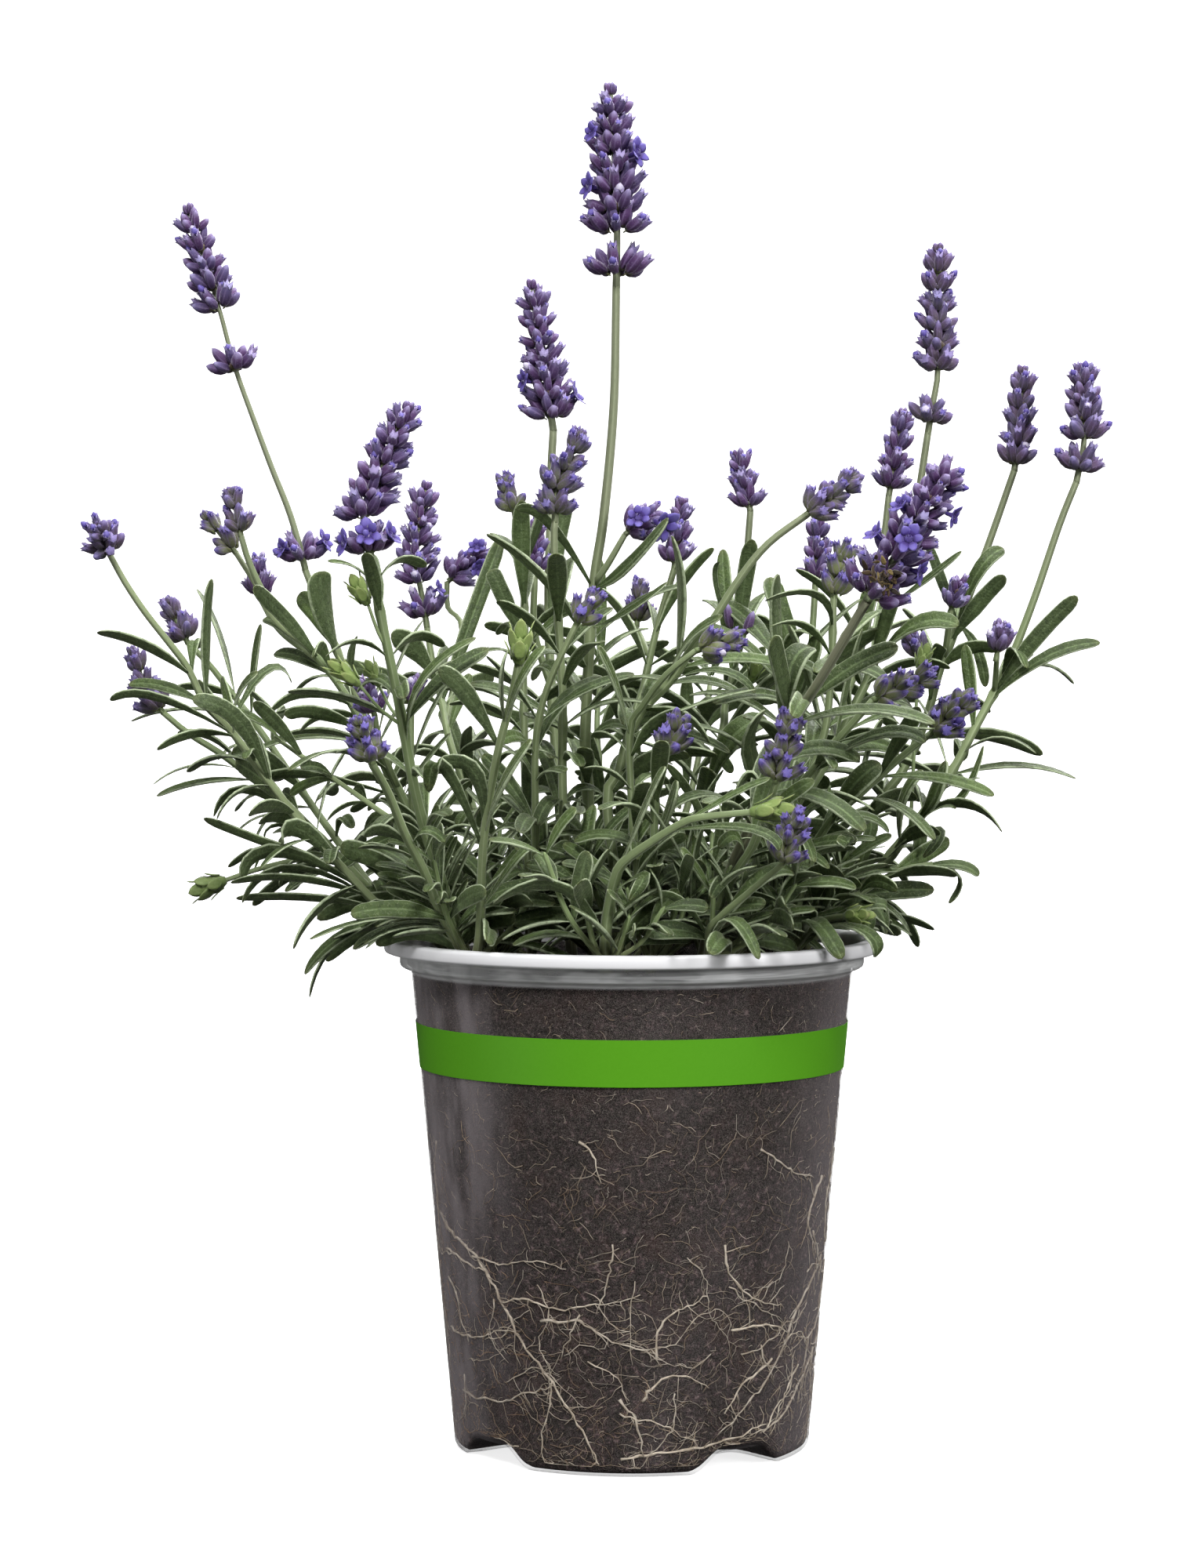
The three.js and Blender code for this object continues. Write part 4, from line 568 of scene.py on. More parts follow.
def handLeaf(line, height, middle, tip, wide, roll, shift):
    start = atHeight(line, height)
    start = start + unit(seen(middle) - start) * leafShape["rootOut"]
    through = seen((middle[0], middle[1], middle[2] + shift * handLeaves["middle"]))
    end = seen((tip[0], tip[1], tip[2] + shift))
    return {"start": start, "pull": through * 2 - (start + end) * 0.5, "tip": end, "wide": wide,
            "roll": roll, "side": np.cross(up, (end - start) * vec(1, 1, 0)),
            "age": handLeaves["age"]}


def handTries(line, said):  # the same leaf, ever more to the front or back
    return [handLeaf(line, *said, shift) for shift in handLeaves["shifts"]]


def claimStems(lines):
    for owner, clump in enumerate(clumps):
        for i, (line, stem) in enumerate(zip(lines[owner], clump["stems"])):
            for at in np.arange(0, lengthOf(line), clear["step"]):
                claim([along(line, at)[0]], [stem["thick"][0] + clear["stem"]], owner * 100)
            if "reach" in stem:
                spike = headLine(line, stem)
                far = lengthOf(spike)
                whose = owner * 100 + (i + 1 if "head" in stem else 0)
                for at in np.arange(0, far + 1, clear["step"]):
                    claim([along(spike, at)[0]], [reachAt(stem, at, far) + clear["spike"]], whose)


def solidLeaves(lines):  # the leaves that the solids have too, in the same order
    leaves = [[] for _ in clumps]
    for owner, clump in enumerate(clumps):
        for k, (which, *said) in enumerate(clump["leaves"]):
            leaf = settle(leaves, owner, handTries(lines[owner][which], said))
            if leaf:
                leaf["wide"] = broader.get((clump["name"], k), leaf["wide"])
    for owner, clump in enumerate(clumps):
        for line, stem in zip(lines[owner], clump["stems"]):
            draw = drawFrom(stem["seed"])
            for pair, at in enumerate(pairsOf(line, stem)):
                for half in range(2):
                    turns = [pairRule["tryTurn"] * k * (1 if k % 2 else -1)
                             + (pair * math.pi / 2 + half * math.pi) for k in range(pairRule["tries"])]
                    settle(leaves, owner, (pairLeaf(stem, line, at, t, draw) for t in turns))
    return leaves


# making meshes: rings of points are gathered in a skin, element by element, and then made one object

def smooth(low, high, x):
    s = np.clip((x - low) / (high - low), 0, 1)
    return s * s * (3 - 2 * s)


def turnsOf(count):
    return np.arange(count) * 2 * math.pi / count


def newSkin():
    skin = {name: [] for name in ("places", "at", "tone", "quads", "tris", "quadSlots", "triSlots")}
    return {**skin, "count": 0}


def addSkin(skin, places, quads, tris, at, tone, slot):
    corners = [np.asarray(faces, int).reshape(-1, n) for faces, n in ((quads, 4), (tris, 3))]
    volume = 0
    for faces in corners:
        for k in range(1, faces.shape[1] - 1):
            a, b, c = places[faces[:, 0]], places[faces[:, k]], places[faces[:, k + 1]]
            volume += np.sum(a * np.cross(b, c))
    if volume < 0:  # it was inside out
        corners = [faces[:, ::-1] for faces in corners]
    skin["places"].append(places)
    skin["at"].append(at)
    skin["tone"].append(np.broadcast_to(np.asarray(tone, float), (len(places), 4)))
    for faces, name in zip(corners, ("quad", "tri")):
        skin[name + "s"].append(faces + skin["count"])
        skin[name + "Slots"].append(np.full(len(faces), slot))
    skin["count"] += len(places)


plainTone = (0.5, 0, 0, 1)


def addRings(skin, rings, tone=plainTone, slot=0, across=0, share=0, third=0, last=None):
    # across, share of the length and a third mark are what the finishes know of a point
    rows, cols = rings.shape[:2]
    at = np.zeros(rings.shape)
    at[..., 0], at[..., 1], at[..., 2] = across, np.reshape(share, (-1, 1)), third
    index = np.arange(rows * cols).reshape(rows, cols)
    nextTo = np.roll(index, -1, axis=1)
    quads = np.stack([index[:-1], nextTo[:-1], nextTo[1:], index[1:]], axis=-1)
    last = rings[-1].mean(axis=0) if last is None else last
    places = np.concatenate([rings.reshape(-1, 3), [rings[0].mean(axis=0), last]])
    n = rows * cols
    tris = [np.stack([nextTo[0], index[0], np.full(cols, n)], axis=-1),
            np.stack([index[-1], nextTo[-1], np.full(cols, n + 1)], axis=-1)]
    ends = [at[0].mean(axis=0), at[-1].mean(axis=0)]
    addSkin(skin, places, quads, tris, np.concatenate([at.reshape(-1, 3), ends]), tone, slot)


def tube(line, side, front, radius, count):  # radius: one for all, for each ring or for each point
    turn = turnsOf(count)
    radius = np.reshape(radius, (-1, 1)) if np.ndim(radius) < 2 else radius
    side, front = np.reshape(side, (-1, 1, 3)), np.reshape(front, (-1, 1, 3))
    return (line[:, None] + side * (radius * np.cos(turn))[..., None]
            + front * (radius * np.sin(turn))[..., None])


def makeObject(name, skin, materials, slotName, *nodes):
    quads, tris = np.concatenate(skin["quads"]), np.concatenate(skin["tris"])
    mesh = bpy.data.meshes.new(name)
    mesh.vertices.add(skin["count"])
    mesh.loops.add(quads.size + tris.size)
    mesh.polygons.add(len(quads) + len(tris))
    starts = np.concatenate([np.arange(len(quads)) * 4, quads.size + np.arange(len(tris)) * 3])
    mesh.polygons.foreach_set("loop_start", starts)
    mesh.loops.foreach_set("vertex_index", np.concatenate([quads.ravel(), tris.ravel()]))
    places = np.concatenate(skin["places"]) * mm
    mesh.vertices.foreach_set("co", places.astype(np.float32).ravel())
    slots = np.concatenate(skin["quadSlots"] + skin["triSlots"])
    mesh.polygons.foreach_set("material_index", slots)
    mesh.update(calc_edges=True)
    mesh.shade_smooth()
    for mark, kind, field in (("at", "FLOAT_VECTOR", "vector"), ("tone", "FLOAT_COLOR", "color")):
        values = np.concatenate(skin[mark]).astype(np.float32).ravel()
        mesh.attributes.new(mark, kind, "POINT").data.foreach_set(field, values)
    for material in materials:
        mesh.materials.append(material)
    piece = show(name, mesh)
    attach(piece, "root")
    if nodes:
        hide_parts(*nodes)
    return piece


def smoothLine(points, step):  # a curve through the points, cut into even steps
    points = np.array(points)
    ahead = np.vstack([2 * points[0] - points[1], points, 2 * points[-1] - points[-2]])
    out = []
    for i in range(len(points) - 1):
        a, b, c, d = ahead[i:i + 4]
        count = max(int(round(np.linalg.norm(c - b) / step)), 1)
        t = (np.arange(count) / count)[:, None]
        bent = 2 * a - 5 * b + 4 * c - d + t * (3 * (b - c) + d - a)
        out.append(b + 0.5 * t * (c - a + t * bent))
    return np.vstack(out + [points[-1:]])


def framesOf(line):  # two sides at each point of a line, without a twist
    headings = units(np.gradient(line, axis=0))
    side = sidesOf(headings[0])[0]
    sides = []
    for heading in headings:
        side = squareTo(side, heading)
        sides.append(side)
    return np.array(sides), np.cross(headings, sides)


stemForm = {"step": 2.6, "around": 12, "square": 0.13, "nodeSwell": 0.28, "nodeLong": 1.5,
            "whole": 300}


def addStem(skin, points, thick, nodesAt, tone, slot, tip=0):
    form = stemForm
    line = smoothLine(points, form["step"])
    gone = np.concatenate([[0], np.cumsum(np.linalg.norm(np.diff(line, axis=0), axis=1))])
    share = gone / gone[-1]
    radius = thick[0] + (thick[1] - thick[0]) * share
    for at in nodesAt:
        radius = radius * (1 + form["nodeSwell"] * np.exp(-((gone - at) / form["nodeLong"]) ** 2))
    ridge = np.cos(4 * turnsOf(form["around"]))
    rings = tube(line, *framesOf(line), radius[:, None] * (1 - form["square"] + form["square"] * ridge),
                 form["around"])
    heading = unit(line[-1] - line[-2])
    addRings(skin, rings, tone, slot, ridge, share, line[:, 2:] / form["whole"],
             line[-1] + heading * tip)


# stations along a leaf, and its section all the way round, with rolled edges and a hollow underside
leafForm = {
    "stations": np.array([0, .06, .16, .29, .43, .57, .7, .81, .89, .945, .985]),
    "across": np.array([-1, -.9, -.45, -.1, .1, .45, .9, 1, .84, .2, -.2, -.84]),
    "lift": np.array([-.34, .12, .3, -.1, -.1, .3, .12, -.34, -.58, -.4, -.4, -.58]),
    "under": np.array([.5, 0, 0, 0, 0, 0, 0, .5, 1, 1, 1, 1]),
    "fold": 0.12, "foldVaries": (0.4, 1.2), "foldFades": (1, -0.5), "twist": 0.6, "twistFrom": 0.4,
    "wave": 0.05, "waves": 9, "waveVaries": 6, "thinUnder": 1.2, "usualWide": 4.5, "thickest": 1.2,
    "endThin": 0.55, "full": 0.72, "blunt": 0.86, "narrower": 0.93, "curl": 0.16,
}


def leafWidth(t):  # fuller and blunter at the tip than the solids' plain blade
    form = leafForm
    rise = towardsOne(leafShape["rootShare"], smooth(-0.05, 0.5, t))
    tip = np.sqrt(1 - np.clip((t - form["blunt"]) / (1 - form["blunt"]), 0, 1) ** 2)
    return form["narrower"] * (form["full"] * rise * tip + (1 - form["full"]) * bladeShare(t))


def addLeaf(skin, leaf, draw, young):
    form = leafForm
    t = form["stations"]
    places = bend(leaf, t)
    headings = units(bend(leaf, t + 0.01) - bend(leaf, t - 0.01))
    chord = unit(leaf["tip"] - leaf["start"])
    side = turned(squareTo(leaf["side"], chord), chord, math.radians(leaf["roll"]))
    across = units(side - headings * (headings @ side)[:, None])
    lift = np.cross(headings, across)
    if lift[5][2] < 0:
        lift, across = -lift, -across
    twist = (form["twist"] * (draw() - 0.5) * (t - form["twistFrom"]))[:, None]
    across, lift = (across * np.cos(twist) + lift * np.sin(twist),
                    lift * np.cos(twist) - across * np.sin(twist))
    curl = form["curl"] * draw() * np.linalg.norm(leaf["tip"] - leaf["start"])
    places = places - lift * (curl * t ** 3)[:, None]
    end = leaf["tip"] - lift[-1] * curl
    half = leaf["wide"] * leafWidth(t) / 2
    fold = form["fold"] * valueAt(form["foldVaries"], draw()) * valueAt(form["foldFades"], t)
    thin = np.minimum(half / form["thinUnder"], 1) * towardsOne(form["endThin"], np.sin(np.pi * t))
    wave = 1 + form["wave"] * np.sin(form["waves"] * t + form["waveVaries"] * draw())
    out = (half * wave)[:, None] * form["across"]
    thick = min(leaf["wide"] / form["usualWide"], form["thickest"])
    rise = np.abs(out) * fold[:, None] + thin[:, None] * form["lift"] * thick
    rings = places[:, None] + across[:, None] * out[..., None] + lift[:, None] * rise[..., None]
    addRings(skin, rings, (draw(), young, leaf["age"], 1), 0, form["across"], t, form["under"], end)


# a cup's share of its width at stations along it, with a toothed mouth or shut
calyxForm = {
    "t": np.array([0, .1, .3, .56, .8, .94, 1]), "open": np.array([.42, .74, .98, 1, .9, .86, .94]),
    "shut": np.array([.42, .74, 1, 1, .84, .56, .28]), "around": 10, "rib": 0.15, "tooth": 0.13,
    "mouth": 0.1, "shutMouth": -0.07, "ribOver": (0.1, 0.95),
    "flower": 0.74, "flowerRows": np.linspace(0.12, 1, 4), "flowerShape": (0.28, 0.64),
}


def addCalyx(skin, base, toward, curl, length, radius, tone, slot, isOpen, bloom=0, woolly=0):
    # curl: how far the cup bends back towards the spike's tip. bloom: how far a shut flower looks out
    form = calyxForm
    t = form["t"]
    middle = base + toward * (length * t)[:, None] + curl * (t * t)[:, None]
    heading = unit(toward * length + curl)
    side, front = sidesOf(heading)
    odd = np.arange(form["around"]) % 2 * 2 - 1
    rib = 1 + form["rib"] * odd * np.sin(np.pi * np.clip(t, *form["ribOver"]))[:, None]
    wide = radius * form["open" if isOpen else "shut"][:, None] * rib
    rings = tube(middle, side, front, wide, form["around"])
    rings[-1] += heading * (odd * form["tooth"] * length * isOpen)[:, None]
    inside = middle[-1] - heading * form["mouth" if isOpen else "shutMouth"] * length
    addRings(skin, rings, tone, slot, odd, t, last=inside)
    if bloom > 0:
        rows = form["flowerRows"]
        size = radius * form["flower"] * np.sin(np.pi * valueAt(form["flowerShape"], rows))
        rings = tube(inside + heading * (rows * bloom)[:, None], side, front, size, form["around"])
        addRings(skin, rings, (tone[0], tone[1], woolly, 1), 1, share=rows)


# the section of a plate, and how its width goes along it
plateAcross = np.array([-1, -.5, 0, .5, 1, .5, 0, -.5])
plateLift = np.array([0, .5, .6, .5, 0, -.5, -.5, -.5])
plateShape = (0.12, 0.8)


def addPlate(skin, start, toward, across, length, wide, cup, thick, tone, slot, sharp=0.8, rows=6):
    # a thin blade with a rounded or pointed end, used for scales, bracts and flower lobes
    t = np.linspace(0, 1, rows)[:-1]
    lift = unit(np.cross(toward, across))
    half = wide / 2 * np.sin(np.pi * np.clip(valueAt(plateShape, t ** sharp), 0, 1))
    line = start + toward * (length * t)[:, None] + lift * (cup * length * t * t)[:, None]
    out = half[:, None] * plateAcross
    rise = plateLift * thick + cup * 0.5 * out ** 2 / wide
    rings = line[:, None] + across * out[..., None] + lift * rise[..., None]
    addRings(skin, rings, tone, slot, plateAcross, t, last=start + toward * length + lift * cup * length)


corollaForm = {"tube": 2.6, "tubeWide": 0.75, "tubeShape": (0.7, 0.5), "around": 8,
               "open": (1.05, 0.5), "uneven": 12, "lobeOut": 0.75, "lobeDown": 0.3,
               "cup": (-0.25, 0.3), "thick": 0.22, "sharp": 0.75}
# the lobes of a flower: turn in degrees, length, width
lobes = [(90, 2.9, 2.9), (35, 2.3, 2.2), (-35, 2.4, 2.3), (-90, 2.9, 2.5), (-145, 2.4, 2.3),
         (145, 2.3, 2.2)]


def addCorolla(skin, place, heading, upward, size, draw):
    # an open flower: a short tube and a ring of spread lobes, the upper ones larger
    form = corollaForm
    side = unit(np.cross(heading, upward))
    above = np.cross(side, heading)
    rows = np.linspace(0, 1, 4)
    wide = size * form["tubeWide"] * valueAt(form["tubeShape"], rows ** 2)
    line = place + heading * (size * form["tube"] * rows)[:, None]
    tone = (draw(), 0, 0, 1)
    addRings(skin, tube(line, side, above, wide, form["around"]), tone, 1, share=0.3 * rows,
             last=line[-1] - heading * size)
    for angle, length, broad in lobes:
        out = spun(side, above, math.radians(angle + form["uneven"] * (draw() - 0.5)))
        toward = unit(spun(heading, out, valueAt(form["open"], draw() - 0.5)))
        start = line[-1] + out * wide[-1] * form["lobeOut"] - heading * form["lobeDown"] * size
        addPlate(skin, start, toward, unit(np.cross(heading, out)), length * size, broad * size,
                 valueAt(form["cup"], draw()), form["thick"], tone, 1, form["sharp"])


# a whorl of cups: "long", "thick" and "count" go with the spike's reach, "countOpens" with how far
# the whorl is open, and the rest of the pairs with a draw or with how ripe it is
whorl = {
    "spacing": 5, "lastOpen": 0.42, "shut": 0.34, "narrowing": 0.9, "loneDown": 1.5, "footUp": 0.15,
    "footOut": 0.2, "overlap": 0.93, "long": (3.3, 0.23), "small": 0.64, "thick": (0.82, 0.06),
    "thickVaries": (0.84, 0.3), "slim": 0.72, "count": (3, 0.72), "room": 1.9, "spinVaries": 0.45,
    "longVaries": 0.32, "inner": 0.62, "innerLean": 0.55, "innerUp": 0.8, "steepest": 0.95,
    "curl": 0.16, "openShare": 0.55, "bloomShare": (0.2, 0.45), "woolly": 0.16, "fatter": 0.28,
    "fewer": 0.3, "countOpens": (0.6, 0.4), "reachVaries": (0.92, 0.16), "innerFoot": 0.5,
    "bloomLong": (0.5, 1.3),
}
# a ripe whorl has two narrow bracts and a green one three round ones
bracts = {
    "ripe": {"count": 2, "lean": 1, "long": 0.7, "wide": (0, 0.5), "away": (0, 0.5)},
    "green": {"count": 3, "lean": 0.72, "long": 0.6, "wide": (1.9, 0), "away": (0.5, 1)},
    "ripeFrom": 0.5, "spin": 0.4, "lean": (0.5, 0.55), "down": 0.6, "cup": 0.22, "thick": 0.3,
}
# the shut cups at a spike's tip, and the stem inside it
tuft = {"count": 4, "turn": 0.3, "long": 0.58, "down": 0.95, "lean": (0.12, 0.3), "out": 0.4,
        "curl": 0.05, "longVaries": (0.75, 0.2), "thick": (0.42, 0.04)}
core = {"down": 0.7, "short": 2, "points": 8, "thick": (0.7, 0.4), "tip": 0.5}
purpleTips = {102: 0.8, 112: 1, 113: 0.7, 205: 0.95}  # buds in flower, by their stem's seed: how ripe
# how ripe each spike is, from green to deep purple, where it isn't fully ripe
ripeness = {3: 0.6, 8: 0.3, 9: 0.35, 10: 0.3, 11: 0.3, 12: 0.4, 14: 0.35, 15: 0.3, 16: 0.8, 17: 0.75,
            18: 0.75, 19: 0.25, 22: 0.6, 25: 0.6, 28: 0.4, 29: 0.2, 30: 0.7, 31: 0.7, 32: 0.7,
            33: 0.65, 34: 0.5}
# open flowers: distance up the spike in mm, turn from the front in degrees, size
openFlowers = {
    1: [(22, -62, 1), (29, 48, 1.1), (34, -48, 0.8)],
    2: [(3.5, -20, 1), (6.5, 55, 1.35)],
    4: [(4.5, -50, 0.8), (5, 65, 0.9)],
    5: [(8, 60, 0.7)],
    6: [(7, 40, 0.9), (10, -30, 0.8)],
    7: [(5, -55, 1), (6, 5, 1.1), (5, 60, 1)],
    13: [(15, 0, 1.05), (12, -75, 0.9), (10, 62, 0.9), (24, 60, 0.8), (20, -58, 0.8)],
    24: [(7, -50, 0.7)],
    26: [(6.8, 78, 1.1), (12, -60, 0.9)],
}
flowerSeat = {"lean": 0.25, "out": 0.62}


def frontOut(heading, degrees):  # a direction square to the heading, turned from the front
    angle = math.radians(degrees)
    out = vec(math.sin(angle), -math.cos(angle), 0)
    return squareTo(out, heading)


def addWhorl(skin, line, stem, at, height, opened, spin, draw, ripe):
    form, whole = whorl, stem["reach"]
    middle, heading = along(line, at + form["footUp"] * height)
    side, front = sidesOf(heading)
    reach = whole * towardsOne(form["shut"], opened)
    long = valueAt(form["long"], whole) * towardsOne(form["small"], opened)
    radius = valueAt(form["thick"], whole)
    radius *= towardsOne(form["slim"], opened) * (1 + form["fatter"] * (1 - ripe))
    foot = max(reach - form["overlap"] * long, form["footOut"] * reach)
    wished = form["count"][0] + form["count"][1] * whole * valueAt(form["countOpens"], opened)
    wished *= 1 - form["fewer"] * (1 - ripe)
    outer = int(min(round(wished), max(math.pi * (foot + reach) / (form["room"] * radius), 4)))
    inner = int(round(outer * form["inner"]))
    for k in range(outer + inner):
        isInner = k >= outer
        turn = (k - outer + 0.5 + spin) / inner if isInner else (k + spin) / outer
        turn += form["spinVaries"] * (draw() - 0.5) / outer
        out = spun(side, front, 2 * math.pi * turn)
        length = long * (1 + form["longVaries"] * (draw() - 0.5))
        far = reach * valueAt(form["reachVaries"], draw()) - foot
        lean = math.asin(min(far / length, form["steepest"]))
        toward = spun(heading, out, lean * (form["innerLean"] if isInner else 1))
        base = middle + out * foot * (form["innerFoot"] if isInner else 1)
        base += heading * form["innerUp"] * isInner
        isOpen = draw() < form["openShare"]
        inBloom = isOpen and draw() < valueAt(form["bloomShare"], ripe)
        bloom = radius * valueAt(form["bloomLong"], draw() ** 2) if inBloom else 0
        woolly = 1 if draw() < form["woolly"] * ripe else 0
        tone = (draw(), 1 - ripe, 0, 1)
        addCalyx(skin, base, toward, heading * form["curl"] * length, length,
                 radius * valueAt(form["thickVaries"], draw()), tone, 0, isOpen, bloom, woolly)
    bract = bracts["ripe" if ripe > bracts["ripeFrom"] else "green"]
    for k in range(bract["count"]):
        turn = (2 * k / bract["count"] + spin) * math.pi + bracts["spin"] * (draw() - 0.5)
        out = spun(side, front, turn)
        toward = spun(heading, out, valueAt(bracts["lean"], opened) * bract["lean"])
        start = middle - heading * bracts["down"] + out * valueAt(bract["away"], foot)
        addPlate(skin, start, toward, np.cross(heading, out), long * bract["long"],
                 valueAt(bract["wide"], whole), bracts["cup"], bracts["thick"],
                 (draw(), 1 - ripe, 0, 1), 3)


def spikeSkin(number, line, stem):
    skin = newSkin()
    draw = drawFrom(stem["seed"] + seeds["spike"])
    ripe = ripeness.get(number, purpleTips.get(stem["seed"], 1))
    whole = lengthOf(line)
    start, heading = along(line, 0)
    steps = np.linspace(0, whole - core["short"], core["points"])
    addStem(skin, [start - heading * core["down"]] + [along(line, d)[0] for d in steps],
            (max(stem["thick"][1], core["thick"][0]), core["thick"][1]), [],
            (draw(), 1 - ripe, 0.2, 1), 2, tip=core["tip"])
    for i, at in enumerate(stem["lone"]):
        addWhorl(skin, line, stem, max(at - whorl["loneDown"], 0.3), whorl["spacing"], 1,
                 0.5 * (i % 2), draw, ripe)
    low = max(whole - stem["spike"], 0.2)
    rows = max(math.floor(stem["spike"] / whorl["spacing"] + 0.5), 2)
    height = stem["spike"] * whorl["narrowing"] / rows
    for row in range(rows):
        opened = 1 - (1 - whorl["lastOpen"]) * row / (rows - 1)
        addWhorl(skin, line, stem, low + row * height, height, opened, 0.5 * (row % 2), draw, ripe)
    size = valueAt(whorl["long"], stem["reach"]) * tuft["long"]
    top, heading = along(line, whole - size * tuft["down"])
    for k in range(tuft["count"]):
        out = spun(*sidesOf(heading), (k + tuft["turn"]) * 2 * math.pi / tuft["count"])
        toward = spun(heading, out, valueAt(tuft["lean"], draw()))
        addCalyx(skin, top + out * tuft["out"], toward, heading * tuft["curl"],
                 size * valueAt(tuft["longVaries"], draw()), valueAt(tuft["thick"], stem["reach"]),
                 (draw(), 1 - ripe, 0, 1), 0, False)
    for at, turn, size in openFlowers.get(number, []):
        middle, heading = along(line, at)
        out = frontOut(heading, turn)
        toward = unit(out + heading * flowerSeat["lean"])
        place = middle + out * stem["reach"] * flowerSeat["out"]
        addCorolla(skin, place, toward, heading, size, draw)
    if number == dried["spike"]:
        addDried(skin, line, stem)
    return skin


# a patch of withered petals low on one spike
dried = {"spike": 13, "at": 6.2, "turn": -8, "out": 0.98, "outVaries": 0.12, "round": 0.5, "count": 40,
         "wide": 6.4, "high": 4.6, "lean": (0.15, 0.5), "aslant": 1.6, "long": (1.6, 1.6),
         "broad": (0.5, 0.9), "cup": 0.6, "thick": 0.16, "sharp": 0.6, "rows": 5, "seed": 990}


def addDried(skin, line, stem):
    form = dried
    draw = drawFrom(form["seed"])
    middle, heading = along(line, form["at"])
    out = frontOut(heading, form["turn"])
    side = np.cross(heading, out)
    for _ in range(form["count"]):
        a, b = draw() - 0.5, draw() - 0.5
        far = form["out"] + form["outVaries"] * draw() - abs(a) * form["round"]
        place = middle + out * stem["reach"] * far + side * a * form["wide"] + heading * b * form["high"]
        toward = out * valueAt(form["lean"], draw()) + side * (draw() - 0.5) * form["aslant"]
        toward = unit(toward + heading * (draw() - 0.5) * form["aslant"])
        across = unit(np.cross(toward, out + heading * (draw() - 0.5)))
        addPlate(skin, place, toward, across, valueAt(form["long"], draw()),
                 valueAt(form["broad"], draw()), form["cup"] * (draw() - 0.5), form["thick"],
                 (draw(), 0, 1, 1), 3, form["sharp"], form["rows"])


budForm = {"stations": 9, "around": 8, "wide": 0.85, "least": 0.25, "shape": (0.1, 0.86),
           "blunt": 0.8, "rows": 3, "scales": 4,
           "firstRow": 0.12, "nextRow": 0.24, "lean": (0.24, -0.08), "out": 0.62, "long": 0.5,
           "longVaries": (0.85, 0.3), "broad": 1.2, "cup": -0.2, "thick": 0.3}


def addBud(skin, line, stem, draw, tone, slot):
    form = budForm
    whole = lengthOf(line)
    at = np.linspace(0, whole, form["stations"])
    places = np.array([along(line, d)[0] for d in at])
    share = at / whole
    wide = stem["reach"] * form["wide"] * np.sin(np.pi * valueAt(form["shape"], share)) ** form["blunt"]
    wide = np.maximum(wide, form["least"])
    rings = tube(places, *framesOf(places), wide, form["around"])
    addRings(skin, rings, tone, slot, share=share)
    for row in range(form["rows"]):
        middle, heading = along(line, whole * (form["firstRow"] + form["nextRow"] * row))
        for k in range(form["scales"]):
            turn = (k + 0.5 * (row % 2)) * 2 * math.pi / form["scales"]
            out = spun(*sidesOf(heading), turn)
            toward = spun(heading, out, valueAt(form["lean"], row))
            addPlate(skin, middle + out * stem["reach"] * form["out"], toward, np.cross(heading, out),
                     whole * form["long"] * valueAt(form["longVaries"], draw()),
                     stem["reach"] * form["broad"], form["cup"], form["thick"], tone, slot)


